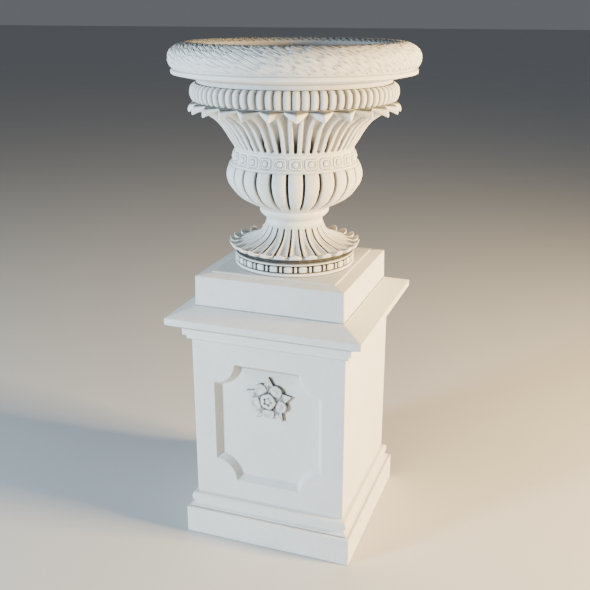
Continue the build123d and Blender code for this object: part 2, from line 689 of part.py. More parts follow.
with BuildPart() as tip_notch:
    with BuildSketch(Plane.XY.offset(spots(CALYX_OUTLINE)[4][1])):
        with BuildLine():
            Polyline((rad(TIP_ROOT), 0), (tip_outer, tip_half), (tip_outer, -tip_half), close=True)
        make_face()
    extrude(amount=calyx_joint - spots(CALYX_OUTLINE)[4][1])
leaf_calyx = turned(
    [calyx_low, *spots(CALYX_OUTLINE), calyx_high],
    [(rad(CALYX_MOUTH_RADIUS), calyx_high[1]), *spots(CALYX_INSIDE), (girdle_inside, calyx_low[1])],
)
with leaf_calyx:
    with PolarLocations(0, REPEATS, start_angle=FRONT + STEP / 2):
        add(flute.part, mode=Mode.SUBTRACT)
    with PolarLocations(0, REPEATS, start_angle=FRONT):
        add(leaf_groove.part, mode=Mode.SUBTRACT)
    with PolarLocations(0, REPEATS, start_angle=FRONT):
        add(tip_notch.part, mode=Mode.SUBTRACT)
    add(girdle_sockets.part, mode=Mode.SUBTRACT)
    add(calyx_sockets.part, mode=Mode.SUBTRACT)

# ---- ring of small upright lobes ----
ring_low = (rad(RING_LOW_RADIUS), calyx_joint + JOINT / 2)
ring_high = (rad(RING_TOP_RADIUS), ring_joint - JOINT / 2)
ring_inside = rad(RING_INSIDE_RADIUS)
gadroon_ring = turned(
    [ring_low, *spots(RING_OUTLINE), ring_high], [(ring_inside, ring_high[1]), (ring_inside, ring_low[1])]
)
ring_belly = max(radius for radius, level in spots(RING_OUTLINE))
with BuildPart() as small_grooves:
    with BuildSketch(Plane.XY.offset(calyx_joint)):
        with PolarLocations(ring_belly + JOINT / 2, SMALL_LOBES, start_angle=FRONT):
            Circle(SMALL_GROOVE_RADIUS)
    extrude(amount=ring_joint - calyx_joint)
with gadroon_ring:
    add(small_grooves.part, mode=Mode.SUBTRACT)
    add(calyx_sockets.part, mode=Mode.SUBTRACT)
    add(ring_sockets.part, mode=Mode.SUBTRACT)

# ---- plain neck and fillet ----
neck_low = (rad(NECK_LOW_RADIUS), ring_joint + JOINT / 2)
neck_high = (rad(NECK_TOP_RADIUS), neck_joint - JOINT / 2)
neck_ring = turned(
    [neck_low, *spots(NECK_OUTLINE), neck_high],
    [(rad(NECK_INSIDE_RADIUS), neck_high[1]), (ring_inside, neck_low[1])],
)
with neck_ring:
    add(ring_sockets.part, mode=Mode.SUBTRACT)
    add(neck_sockets.part, mode=Mode.SUBTRACT)

# ---- broad rolled rim with slanting strands ----
rim_low = (rad(RIM_LOW_RADIUS), neck_joint + JOINT / 2)
rope_rim = turned(
    [rim_low, *spots(RIM_OUTLINE), (rad(RIM_MOUTH_RADIUS), lev(RIM_MOUTH_LEVEL))],
    [(rad(RIM_INSIDE_RADIUS), rim_low[1])],
)
rope_points = [
    (
        rad(radius) * math.cos(math.radians(turn)),
        rad(radius) * math.sin(math.radians(turn)),
        lev(level),
    )
    for radius, level, turn in ROPE_PATH
]
with BuildPart() as strand_groove:
    with BuildLine() as lay:
        Spline(*rope_points)
    with BuildSketch(Plane(origin=lay.line @ 0, z_dir=lay.line % 0)):
        Circle(ROPE_GROOVE_RADIUS)
    sweep()
with rope_rim:
    with PolarLocations(0, REPEATS, start_angle=FRONT):
        add(strand_groove.part, mode=Mode.SUBTRACT)
    add(neck_sockets.part, mode=Mode.SUBTRACT)

# ---- urn mortar rings ----
foot_mortar = round_bed(foot_joint, rad(SKIRT_LOW_RADIUS), foot_bore, rad(LOW_DOWELS))
stem_mortar = round_bed(stem_joint, rad(STEM_LOW_RADIUS), tube_hole, 0)
knop_mortar = round_bed(knop_joint, rad(STEM_TOP_RADIUS), tube_hole, 0)
bowl_mortar = round_bed(bowl_joint, rad(GIRDLE_LOW_RADIUS), girdle_inside, rad(WAIST_DOWELS))
girdle_mortar = round_bed(girdle_joint, rad(GIRDLE_TOP_RADIUS), girdle_inside, rad(WAIST_DOWELS))
calyx_mortar = round_bed(calyx_joint, rad(TIP_ROOT), ring_inside, rad(HIGH_DOWELS))
ring_mortar = round_bed(ring_joint, rad(NECK_LOW_RADIUS), ring_inside, rad(NECK_DOWELS))
neck_mortar = round_bed(neck_joint, rad(RIM_LOW_RADIUS), rad(RIM_INSIDE_RADIUS), rad(NECK_DOWELS))

# ---- urn dowels, all alike ----
vessel_sites = (
    (foot_joint, rad(LOW_DOWELS)),
    (bowl_joint, rad(WAIST_DOWELS)),
    (girdle_joint, rad(WAIST_DOWELS)),
    (calyx_joint, rad(HIGH_DOWELS)),
    (ring_joint, rad(NECK_DOWELS)),
    (neck_joint, rad(NECK_DOWELS)),
)
vessel_dowels = BuildPart()
for joint, circle in vessel_sites:
    four = round_dowels(joint, circle, VESSEL_DOWEL_RADIUS, VESSEL_DOWEL_EMBED, VESSEL_DOWEL_EMBED)
    with vessel_dowels:
        add(four.part)

# ---- hollow tie that clamps and drains the bowl ----
washer_top = foot_joint + JOINT / 2
tube_low = washer_top - WASHER_THICKNESS - NUT_THICKNESS - TUBE_TAIL
flange_low = bowl_floor + SEAL_THICKNESS
with BuildPart() as drain_tube:
    with BuildSketch(Plane.XY.offset(tube_low)):
        Circle(TUBE_RADIUS)
        Circle(TUBE_RADIUS - TUBE_WALL, mode=Mode.SUBTRACT)
    extrude(amount=flange_low + FLANGE_THICKNESS - tube_low)

with BuildPart() as drain_seal:
    with BuildSketch(Plane.XY.offset(bowl_floor)):
        Circle(SEAL_RADIUS)
        Circle(TUBE_RADIUS + THREAD_FIT, mode=Mode.SUBTRACT)
    extrude(amount=SEAL_THICKNESS)

with BuildPart() as drain_flange:
    with BuildSketch(Plane.XY.offset(flange_low)):
        Circle(FLANGE_RADIUS)
        Circle(TUBE_RADIUS + THREAD_FIT, mode=Mode.SUBTRACT)
    extrude(amount=FLANGE_THICKNESS)
    flange_rims = drain_flange.edges().filter_by(GeomType.CIRCLE).sort_by(SortBy.RADIUS)[-2:]
    chamfer(flange_rims.sort_by(Axis.Z)[-1], ARRIS)

with BuildPart() as tie_washer:
    with BuildSketch(Plane.XY.offset(washer_top - WASHER_THICKNESS)):
        Circle(WASHER_RADIUS)
        Circle(tube_hole, mode=Mode.SUBTRACT)
    extrude(amount=WASHER_THICKNESS)

with BuildPart() as tie_nut:
    with BuildSketch(Plane.XY.offset(washer_top - WASHER_THICKNESS - NUT_THICKNESS)):
        RegularPolygon(NUT_RADIUS, NUT_SIDES)
        Circle(TUBE_RADIUS + THREAD_FIT, mode=Mode.SUBTRACT)
    extrude(amount=NUT_THICKNESS)

# ---- names and files ----
plinth.part.label = "plinth"
export_step(plinth.part, "parts/plinth.step")
base_moulding.part.label = "base_moulding"
export_step(base_moulding.part, "parts/base_moulding.step")
die.part.label = "die"
export_step(die.part, "parts/die.step")
rosette.part.label = "rosette"
export_step(rosette.part, "parts/rosette.step")
bed_moulding.part.label = "bed_moulding"
export_step(bed_moulding.part, "parts/bed_moulding.step")
cornice.part.label = "cornice"
export_step(cornice.part, "parts/cornice.step")
seat_block.part.label = "seat_block"
export_step(seat_block.part, "parts/seat_block.step")
locating_pins.part.label = "locating_pins"
export_step(locating_pins.part, "parts/locating_pins.step")
course_dowels.part.label = "course_dowels"
export_step(course_dowels.part, "parts/course_dowels.step")
plinth_mortar.part.label = "plinth_mortar"
export_step(plinth_mortar.part, "parts/plinth_mortar.step")
base_mortar.part.label = "base_mortar"
export_step(base_mortar.part, "parts/base_mortar.step")
die_mortar.part.label = "die_mortar"
export_step(die_mortar.part, "parts/die_mortar.step")
cornice_mortar.part.label = "cornice_mortar"
export_step(cornice_mortar.part, "parts/cornice_mortar.step")
block_mortar.part.label = "block_mortar"
export_step(block_mortar.part, "parts/block_mortar.step")
foot_ring.part.label = "foot_ring"
export_step(foot_ring.part, "parts/foot_ring.step")
foot_leaves.part.label = "foot_leaves"
export_step(foot_leaves.part, "parts/foot_leaves.step")
stem.part.label = "stem"
export_step(stem.part, "parts/stem.step")
lobed_bowl.part.label = "lobed_bowl"
export_step(lobed_bowl.part, "parts/lobed_bowl.step")
girdle.part.label = "girdle"
export_step(girdle.part, "parts/girdle.step")
leaf_calyx.part.label = "leaf_calyx"
export_step(leaf_calyx.part, "parts/leaf_calyx.step")
gadroon_ring.part.label = "gadroon_ring"
export_step(gadroon_ring.part, "parts/gadroon_ring.step")
neck_ring.part.label = "neck_ring"
export_step(neck_ring.part, "parts/neck_ring.step")
rope_rim.part.label = "rope_rim"
export_step(rope_rim.part, "parts/rope_rim.step")
foot_mortar.part.label = "foot_mortar"
export_step(foot_mortar.part, "parts/foot_mortar.step")
stem_mortar.part.label = "stem_mortar"
export_step(stem_mortar.part, "parts/stem_mortar.step")
knop_mortar.part.label = "knop_mortar"
export_step(knop_mortar.part, "parts/knop_mortar.step")
bowl_mortar.part.label = "bowl_mortar"
export_step(bowl_mortar.part, "parts/bowl_mortar.step")
girdle_mortar.part.label = "girdle_mortar"
export_step(girdle_mortar.part, "parts/girdle_mortar.step")
calyx_mortar.part.label = "calyx_mortar"
export_step(calyx_mortar.part, "parts/calyx_mortar.step")
ring_mortar.part.label = "ring_mortar"
export_step(ring_mortar.part, "parts/ring_mortar.step")
neck_mortar.part.label = "neck_mortar"
export_step(neck_mortar.part, "parts/neck_mortar.step")
vessel_dowels.part.label = "vessel_dowels"
export_step(vessel_dowels.part, "parts/vessel_dowels.step")
drain_tube.part.label = "drain_tube"
export_step(drain_tube.part, "parts/drain_tube.step")
drain_seal.part.label = "drain_seal"
export_step(drain_seal.part, "parts/drain_seal.step")
drain_flange.part.label = "drain_flange"
export_step(drain_flange.part, "parts/drain_flange.step")
tie_washer.part.label = "tie_washer"
export_step(tie_washer.part, "parts/tie_washer.step")
tie_nut.part.label = "tie_nut"
export_step(tie_nut.part, "parts/tie_nut.step")
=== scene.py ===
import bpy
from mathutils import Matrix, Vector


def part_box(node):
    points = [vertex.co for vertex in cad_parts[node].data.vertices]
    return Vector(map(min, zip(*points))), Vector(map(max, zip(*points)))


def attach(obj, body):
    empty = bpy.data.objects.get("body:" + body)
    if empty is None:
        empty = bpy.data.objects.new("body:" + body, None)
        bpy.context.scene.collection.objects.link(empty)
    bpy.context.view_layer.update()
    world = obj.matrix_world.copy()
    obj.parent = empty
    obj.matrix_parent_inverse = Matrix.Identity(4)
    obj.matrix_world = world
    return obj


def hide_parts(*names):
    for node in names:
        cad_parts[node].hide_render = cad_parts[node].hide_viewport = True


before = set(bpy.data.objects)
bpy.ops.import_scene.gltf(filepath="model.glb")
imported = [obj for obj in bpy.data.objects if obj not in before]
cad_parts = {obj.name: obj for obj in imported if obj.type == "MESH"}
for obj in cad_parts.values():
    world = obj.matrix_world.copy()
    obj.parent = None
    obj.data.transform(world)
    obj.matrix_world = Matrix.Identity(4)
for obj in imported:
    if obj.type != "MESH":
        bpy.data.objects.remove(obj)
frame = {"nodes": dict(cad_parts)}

"""A classical urn on a square pedestal: carved stone rings and courses, dressed as cast stone.

Lengths are in millimetres while a surface is worked out and become metres when it is put into a mesh.
The urn's outlines are written as hundredths of the rim's radius and of the urn's height.
"""

import logging
import math
from dataclasses import dataclass
from enum import Enum
from typing import Any, ClassVar, Sequence

import bpy
import numpy as np
from mathutils import Vector

LOG = logging.getLogger("urn")
METRES = 0.001
REPEATS = 26
SMALL = 3 * REPEATS
FRONT = -0.5 * math.pi
TURN = 2.0 * math.pi
TINY = 1e-9
LEAST_SPREAD = 0.04
Pair = tuple[float, float]
Colour = tuple[float, float, float, float]
Array = np.ndarray


# ---------------------------------------------------------------------------
# surfaces
# ---------------------------------------------------------------------------


def flowing(points: Sequence[Pair], per_span: int) -> Array:
    """Smooth curve through points, with the same number of steps in every span.

    Formula: a cubic Hermite curve whose tangent at each point is half the chord between its neighbours.

    Args:
        points: The points, in order.
        per_span: Steps between one point and the next.

    Returns:
        An array of (spans * per_span + 1, 2) positions.
    """
    p = np.asarray(points, float)
    tangent = np.gradient(p, axis=0)
    t = np.linspace(0.0, 1.0, per_span, endpoint=False)[None, :, None]
    a, b = p[:-1, None, :], p[1:, None, :]
    ta, tb = tangent[:-1, None, :], tangent[1:, None, :]
    curve = (
        (2 * t**3 - 3 * t**2 + 1) * a
        + (t**3 - 2 * t**2 + t) * ta
        + (3 * t**2 - 2 * t**3) * b
        + (t**3 - t**2) * tb
    )
    return np.vstack([curve.reshape(-1, 2), p[-1:]])


def evenly(curve: Array, count: int) -> Array:
    """The same curve with evenly spaced points, by linear interpolation over its length.

    Args:
        curve: Array of (points, 2) positions.
        count: Points wanted.

    Returns:
        Array of (count, 2) positions.
    """
    length = arc_length(curve)
    at = np.linspace(0.0, length[-1], count)
    return np.stack([np.interp(at, length, curve[:, 0]), np.interp(at, length, curve[:, 1])], -1)


def arc_length(curve: Array) -> Array:
    """Running length along a curve, as the sum of its chords."""
    return np.r_[0.0, np.cumsum(np.hypot(*np.diff(curve, axis=0).T))]


def straight(start: Pair, end: Pair, steps: int) -> Array:
    """Points on a straight line, without its two ends."""
    t = np.linspace(0.0, 1.0, steps + 2)[1:-1, None]
    return np.asarray(start) * (1 - t) + np.asarray(end) * t


def eased(points: Sequence[Pair], radius: float, steps: int = 3) -> Array:
    """Open polyline with its inner corners rounded.

    Formula: each corner becomes a quadratic Bezier curve between the points that lie one radius away
    from it on its two sides.

    Args:
        points: The corners of the polyline.
        radius: Distance from a corner to where its rounding starts.
        steps: Chords in each rounding.

    Returns:
        The rounded polyline.
    """
    p = np.asarray(points, float)
    t = np.linspace(0.0, 1.0, steps + 1)[:, None]
    out = [p[:1]]
    for before, corner, after in zip(p[:-2], p[1:-1], p[2:]):
        reach_in = min(radius, 0.45 * np.linalg.norm(corner - before))
        reach_out = min(radius, 0.45 * np.linalg.norm(after - corner))
        start = corner + (before - corner) / np.linalg.norm(before - corner) * reach_in
        end = corner + (after - corner) / np.linalg.norm(after - corner) * reach_out
        out.append((1 - t) ** 2 * start + 2 * t * (1 - t) * corner + t**2 * end)
    out.append(p[-1:])
    return np.vstack(out)


def smooth(low: float, high: float, x: Array) -> Array:
    """Soft step from 0 at low to 1 at high: three times the square less twice the cube."""
    t = np.clip((x - low) / (high - low), 0.0, 1.0)
    return t * t * (3 - 2 * t)


def hump(x: Array, power: float = 0.5) -> Array:
    """Round hump, 1 at 0 and 0 at 1 and beyond: one less the square, raised to a power."""
    return np.clip(1 - x * x, 0.0, 1.0) ** power


def clustered(count: int, strength: float) -> Array:
    """Positions from -1 to 1 across one repeat, closer together towards both ends.

    Formula: an even spacing with a part of its own sine wave added, so that steps shrink at the ends.

    Args:
        count: Positions, with the right-hand end left to the next repeat.
        strength: 0 for even spacing, up to 0.9 for the closest ends.

    Returns:
        The positions.
    """
    even = np.linspace(-1.0, 1.0, count, endpoint=False)
    return even + strength * np.sin(np.pi * even) / np.pi


@dataclass
class Shell:
    """A grid of points that becomes one closed mesh.

    Attributes:
        points: Array of (rows, columns, 3) positions in millimetres.
        loop: True if the last row joins the first, False if both ends close on a pole.
        slip: Columns by which the last row is turned against the first where they join.
        painted_shade: Array of the first rows' painted shade from 0 to 1, or None where the shell has none.
    """

    points: Array
    loop: bool = True
    slip: int = 0
    painted_shade: Array | None = None

    def painted_shading(self) -> Array:
        """Painted shade of every grid point; rows past the given ones have none.

        Returns:
            Array of (rows, columns) from 0 for no painted shade.
        """
        out = np.zeros(self.points.shape[:2])
        if self.painted_shade is not None:
            out[: len(self.painted_shade)] = self.painted_shade
        return out

    def faces(self) -> Array:
        """Quads between neighbouring rows and columns, wrapped round the columns.

        Returns:
            Array of (faces, 4) point numbers.
        """
        rows, columns = self.points.shape[:2]
        index = np.arange(rows * columns).reshape(rows, columns)
        if self.loop:
            index = np.vstack([index, np.roll(index[:1], -self.slip, axis=1)])
        right = np.roll(index, -1, axis=1)
        return np.stack([index[:-1], right[:-1], right[1:], index[1:]], -1).reshape(-1, 4)

    def caps(self) -> tuple[Array, Array]:
        """Two pole points and the triangles that close the first and the last row.

        Returns:
            The two points, and an array of (triangles, 3) point numbers.
        """
        rows, columns = self.points.shape[:2]
        total = rows * columns
        first = np.arange(columns)
        last = first + (rows - 1) * columns
        low = np.stack([np.full(columns, total), np.roll(first, -1), first], -1)
        high = np.stack([np.full(columns, total + 1), last, np.roll(last, -1)], -1)
        poles = np.stack([self.points[0].mean(0), self.points[-1].mean(0)])
        return poles, np.vstack([low, high])

    def bend(self) -> Array:
        """How sharply the surface bends at each point, positive on ridges.

        Formula: the height of a point over the mean of its four neighbours, along the surface normal,
        divided by the mean square of their distances.

        Returns:
            One number for each grid point, in parts per millimetre.
        """
        p = self.points
        padded = np.pad(p, ((1, 1), (0, 0), (0, 0)), mode="wrap" if self.loop else "edge")
        if self.loop and self.slip:
            padded[-1] = np.roll(p[0], -self.slip, axis=0)
            padded[0] = np.roll(p[-1], self.slip, axis=0)
        up, down = padded[2:], padded[:-2]
        left, right = np.roll(p, 1, axis=1), np.roll(p, -1, axis=1)
        normal = np.cross(right - left, up - down)
        size = np.linalg.norm(normal, axis=-1, keepdims=True)
        normal = normal / np.maximum(size, TINY)
        offset = p - (up + down + left + right) / 4
        spread = sum(((n - p) ** 2).sum(-1) for n in (up, down, left, right)) / 4
        return (offset * normal).sum(-1) / np.maximum(spread, LEAST_SPREAD)


def build_mesh(name: str, shells: Sequence[Shell], crease: float = 0.12) -> bpy.types.Object:
    """Join shells into one smooth-shaded mesh object with its carving measures.

    The attribute "edge" is high on ridges and "hollow" is high in grooves; both come from Shell.bend.
    The attribute "soil" is painted shade, high where a carving is deep or where shade falls; it comes from
    Shell.dirt.

    Args:
        name: Name of the object and its mesh.
        shells: The closed surfaces, in millimetres.
        crease: Bend, in parts per millimetre, that counts as a full edge or hollow.

    Returns:
        The new object, linked to the scene.
    """
    corners, loops, starts, bends, painted_shadings = [], [], [], [], []
    base, cursor = 0, 0
    for shell in shells:
        points = shell.points.reshape(-1, 3)
        bend = shell.bend().reshape(-1)
        painted_shading = shell.painted_shading().reshape(-1)
        polygons = [shell.faces()]
        if not shell.loop:
            poles, triangles = shell.caps()
            points = np.vstack([points, poles])
            bend, painted_shading = np.r_[bend, 0.0, 0.0], np.r_[painted_shading, 0.0, 0.0]
            polygons.append(triangles)
        for block in polygons:
            loops.append((block + base).reshape(-1))
            starts.append(cursor + np.arange(len(block)) * block.shape[1])
            cursor += block.size
        corners.append(points)
        bends.append(bend)
        painted_shadings.append(painted_shading)
        base += len(points)
    vertices = np.vstack(corners) * METRES
    loop_index = np.concatenate(loops)
    loop_start = np.concatenate(starts)
    mesh = bpy.data.meshes.new(name)
    mesh.vertices.add(len(vertices))
    mesh.vertices.foreach_set("co", vertices.astype(np.float32).reshape(-1))
    mesh.loops.add(len(loop_index))
    mesh.loops.foreach_set("vertex_index", loop_index.astype(np.int32))
    mesh.polygons.add(len(loop_start))
    mesh.polygons.foreach_set("loop_start", loop_start.astype(np.int32))
    mesh.update(calc_edges=True)
    mesh.validate()
    mesh.polygons.foreach_set("use_smooth", np.ones(len(mesh.polygons), bool))
    bend = np.concatenate(bends) / crease
    # The third mark is painted shade for the stone's colour.
    for label, value in (("edge", bend), ("hollow", -bend), ("painted_shade", np.concatenate(painted_shadings))):
        values = np.clip(value, 0.0, 1.0).astype(np.float32)
        mesh.attributes.new(label, "FLOAT", "POINT").data.foreach_set("value", values)
    obj = bpy.data.objects.new(name, mesh)
    bpy.context.collection.objects.link(obj)
    return obj


# ---------------------------------------------------------------------------
# shader maths
# ---------------------------------------------------------------------------


class Wire:
    """One value in a material, with Python operators that add its Math nodes."""

    def __init__(self, book: "Book", socket: Any) -> None:
        """Keep the material's book and the value's socket."""
        self.book = book
        self.socket = socket

    def _maths(self, operation: str, first: Any, second: Any = 0.0) -> "Wire":
        """One Math node on two values or numbers."""
        return self.book.node("ShaderNodeMath", {"operation": operation}, {0: first, 1: second})

    def __add__(self, other: Any) -> "Wire":
        """Sum."""
        return self._maths("ADD", self, other)

    __radd__ = __add__

    def __sub__(self, other: Any) -> "Wire":
        """Difference."""
        return self._maths("SUBTRACT", self, other)

    def __rsub__(self, other: Any) -> "Wire":
        """Difference, with this value taken away."""
        return self._maths("SUBTRACT", other, self)

    def __mul__(self, other: Any) -> "Wire":
        """Product."""
        return self._maths("MULTIPLY", self, other)

    __rmul__ = __mul__

    def clamp(self) -> "Wire":
        """The value kept between 0 and 1."""
        return self.book.node("ShaderNodeClamp", {}, {"Value": self})


class Book:
    """The nodes of one material."""

    def __init__(self, name: str) -> None:
        """Start an empty node material.

        Args:
            name: The material's name.
        """
        self.material = bpy.data.materials.new(name)
        self.material.use_nodes = True
        self.tree = self.material.node_tree
        self.tree.nodes.clear()

    def node(self, kind: str, settings: dict[str, Any], inputs: dict[Any, Any], out: Any = 0) -> Wire:
        """Add one node of any kind.

        Args:
            kind: The node's type.
            settings: Its properties, set before the sockets; a "stops" list fills a colour ramp.
            inputs: Values or wires for its input sockets, by name or number.
            out: The output socket that is wanted, by name or number.

        Returns:
            The output as a wire.
        """
        made = self.tree.nodes.new(kind)
        for key, value in settings.items():
            if key == "stops":
                self._fill_ramp(made.color_ramp, value)
            else:
                setattr(made, key, value)
        for key, value in inputs.items():
            if isinstance(value, Wire):
                self.tree.links.new(value.socket, made.inputs[key])
            else:
                made.inputs[key].default_value = value
        return Wire(self, made.outputs[out])

    @staticmethod
    def _fill_ramp(ramp: Any, stops: Sequence[tuple[float, float]]) -> None:
        """Set the stops of a grey ramp.

        Args:
            ramp: The ramp.
            stops: Position and brightness of each stop.
        """
        while len(ramp.elements) < len(stops):
            ramp.elements.new(1.0)
        for element, (position, grey) in zip(ramp.elements, stops):
            element.position = position
            element.color = (grey, grey, grey, 1.0)

    def place(self) -> Wire:
        """Object coordinates, in metres."""
        return self.node("ShaderNodeTexCoord", {}, {}, "Object")

    def noise(self, scale: float, detail: float = 4.0, rough: float = 0.55, at: Any = None) -> Wire:
        """Cloudy noise.

        Args:
            scale: Cells per metre.
            detail: Octaves.
            rough: Weight of each finer octave.
            at: Position to read, or None for object coordinates.

        Returns:
            A value around 0.5.
        """
        where = at if at is not None else self.place()
        inputs = {"Vector": where, "Scale": scale, "Detail": detail, "Roughness": rough}
        return self.node("ShaderNodeTexNoise", {}, inputs, 0)

    def pits(self, scale: float) -> Wire:
        """Distance to the nearest of many scattered points, as air holes in a casting."""
        return self.node("ShaderNodeTexVoronoi", {}, {"Vector": self.place(), "Scale": scale}, "Distance")

    def ramp(self, value: Any, stops: Sequence[tuple[float, float]]) -> Wire:
        """A value put through a grey ramp."""
        return self.node("ShaderNodeValToRGB", {"stops": stops}, {"Fac": value})

    def mark(self, name: str) -> Wire:
        """A number that the mesh carries under a name; 0 where it has none."""
        return self.node("ShaderNodeAttribute", {"attribute_name": name}, {}, "Fac")

    def mix(self, amount: Any, first: Any, second: Any) -> Wire:
        """Two colours blended by an amount."""
        inputs = {0: amount, 6: first, 7: second}
        return self.node("ShaderNodeMix", {"data_type": "RGBA"}, inputs, 2)

    def bump(self, height: Any, distance: float, strength: float, under: Any = None) -> Wire:
        """Normal of a fine relief.

        Args:
            height: The relief.
            distance: Height of the relief in metres.
            strength: Weight from 0 to 1.
            under: A coarser normal that it lies on, or None.

        Returns:
            The normal.
        """
        inputs = {"Height": height, "Distance": distance, "Strength": strength}
        if under is not None:
            inputs["Normal"] = under
        return self.node("ShaderNodeBump", {}, inputs)

    def finish(self, inputs: dict[str, Any]) -> bpy.types.Material:
        """Close the material with one Principled shader.

        Args:
            inputs: Its sockets, by name.

        Returns:
            The material.
        """
        shader = self.node("ShaderNodeBsdfPrincipled", {}, inputs)
        out = self.tree.nodes.new("ShaderNodeOutputMaterial")
        self.tree.links.new(shader.socket, out.inputs["Surface"])
        return self.material


# ---------------------------------------------------------------------------
# finishes
# ---------------------------------------------------------------------------


@dataclass(frozen=True)
class StoneFinish:
    """Pale cast stone: fine sand grain, soft clouding, pin holes, painted shade in hollows and lighter edges, partly
    wear and partly painted highlight.

    Attributes:
        name: Name of the material.
        pale: Lighter tone of the clouds.
        shade: Darker tone of the clouds.
        painted_shade: Tone of the painted shade in hollows, also laid in pin holes.
        deep_painted_shade: Darkest painted shade, laid where the mesh's painted-shade mark is high.
        wear_and_highlight: Lighter stone on edges, partly wear and partly painted highlight.
        grain: Sand grains per metre.
        cloud: Clouds per metre.
        relief: Height of the grain in metres.
    """

    name: str = "cast_stone"
    pale: Colour = (0.80, 0.795, 0.775, 1.0)
    shade: Colour = (0.64, 0.63, 0.60, 1.0)
    painted_shade: Colour = (0.30, 0.285, 0.26, 1.0)
    deep_painted_shade: Colour = (0.045, 0.042, 0.038, 1.0)
    wear_and_highlight: Colour = (0.88, 0.88, 0.87, 1.0)
    grain: float = 900.0
    cloud: float = 7.0
    relief: float = 0.0006

    def build(self) -> bpy.types.Material:
        """Mix the stone's tones from cloud and grain, and lay painted shade, wear and painted highlight by the
        carving's marks.

        Returns:
            The material.
        """
        book = Book(self.name)
        cloud = book.noise(self.cloud, 5.0, 0.6)
        mottle = book.noise(self.cloud * 9.0, 3.0, 0.5)
        sand = book.noise(self.grain, 2.0, 0.7)
        holes = book.ramp(book.pits(self.grain * 0.22), [(0.0, 1.0), (0.10, 1.0), (0.17, 0.0)])
        sparse = book.ramp(book.noise(self.grain * 0.1, 2.0, 0.5), [(0.0, 0.0), (0.60, 0.0), (0.66, 1.0)])
        pin_holes = holes * sparse
        # The bend marks pick out hollows and edges; the third mark carries painted shade.
        hollow = book.mark("hollow")
        edge = book.mark("edge")
        depth = book.mark("painted_shade")
        tone = (cloud * 0.9 + mottle * 0.5 + sand * 0.35 - 0.62).clamp()
        stone = book.mix(tone, self.pale, self.shade)
        # Painted shade in hollows, from the concave bend, and darker pin holes.
        hollow_shade_and_pits = (hollow * (0.75 + mottle * 0.7) + pin_holes * 0.55).clamp()
        shaded_stone = book.mix(hollow_shade_and_pits, stone, self.painted_shade)
        # Lighter ridges and arrises: partly wear, partly painted highlight.
        clean = book.mix((edge * (0.25 + cloud * 0.6)).clamp(), shaded_stone, self.wear_and_highlight)
        # Darkest painted shade where the mesh's painted-shade mark is high.
        colour = book.mix((depth * (0.85 + mottle * 0.3)).clamp(), clean, self.deep_painted_shade)
        rough = (0.74 + sand * 0.16 + hollow * 0.08 - edge * 0.10).clamp()
        coarse = book.bump(mottle + cloud, self.relief * 2.0, 0.25)
        fine = book.bump(sand * 0.6 - pin_holes * 1.6, self.relief, 0.55, coarse)
        return book.finish(
            {"Base Color": colour, "Roughness": rough, "Normal": fine, "Specular IOR Level": 0.35}
        )


@dataclass(frozen=True)
class MortarFinish:
    """Pale lime mortar, coarser and a little darker than the stone.

    Attributes:
        name: Name of the material.
        light: Tone of the lime.
        dark: Tone of the sand in it.
        grain: Grains per metre.
    """

    name: str = "lime_mortar"
    light: Colour = (0.70, 0.69, 0.67, 1.0)
    dark: Colour = (0.54, 0.53, 0.51, 1.0)
    grain: float = 420.0

    def build(self) -> bpy.types.Material:
        """Mix the two greys by two scales of noise and raise the grit.

        Returns:
            The material.
        """
        book = Book(self.name)
        grit = book.noise(self.grain, 3.0, 0.7)
        cloud = book.noise(self.grain * 0.05, 3.0, 0.5)
        colour = book.mix((grit * 0.7 + cloud * 0.6 - 0.3).clamp(), self.dark, self.light)
        normal = book.bump(grit, 0.0008, 0.6)
        return book.finish({"Base Color": colour, "Roughness": (0.8 + grit * 0.15).clamp(), "Normal": normal})


@dataclass(frozen=True)
class MetalFinish:
    """Turned or drawn metal with fine rings, dulled in patches.

    Attributes:
        name: Name of the material.
        bright: Clean metal.
        dull: Tarnished metal.
        rough: Roughness of the clean metal.
        rings: Rings per metre.
    """

    name: str
    bright: Colour
    dull: Colour
    rough: float
    rings: float = 1400.0

    def build(self) -> bpy.types.Material:
        """Lay rings along the height and cloudy tarnish over them.

        Returns:
            The material.
        """
        book = Book(self.name)
        stretch = book.node(
            "ShaderNodeMapping", {}, {"Vector": book.place(), "Scale": Vector((0.05, 0.05, 1.0))}, "Vector"
        )
        ring = book.noise(self.rings, 2.0, 0.5, stretch)
        patch = book.noise(60.0, 4.0, 0.6)
        tarnish = (patch * 1.6 - 0.55).clamp()
        colour = book.mix(tarnish, self.bright, self.dull)
        rough = (self.rough + tarnish * 0.25 + ring * 0.12).clamp()
        normal = book.bump(ring, 0.0001, 0.4)
        return book.finish({"Base Color": colour, "Metallic": 1.0, "Roughness": rough, "Normal": normal})


@dataclass(frozen=True)
class RubberFinish:
    """Black seal rubber with a faint bloom.

    Attributes:
        name: Name of the material.
        black: The rubber.
        bloom: The bloom on it.
    """

    name: str = "seal_rubber"
    black: Colour = (0.018, 0.018, 0.019, 1.0)
    bloom: Colour = (0.06, 0.06, 0.058, 1.0)

    def build(self) -> bpy.types.Material:
        """Lay cloudy bloom over black, with a fine moulded grain.

        Returns:
            The material.
        """
        book = Book(self.name)
        bloom = (book.noise(90.0, 4.0, 0.6) * 1.4 - 0.4).clamp()
        grain = book.noise(1500.0, 2.0, 0.5)
        colour = book.mix(bloom, self.black, self.bloom)
        normal = book.bump(grain, 0.0001, 0.5)
        rough = (0.55 + bloom * 0.25).clamp()
        return book.finish({"Base Color": colour, "Roughness": rough, "Normal": normal})


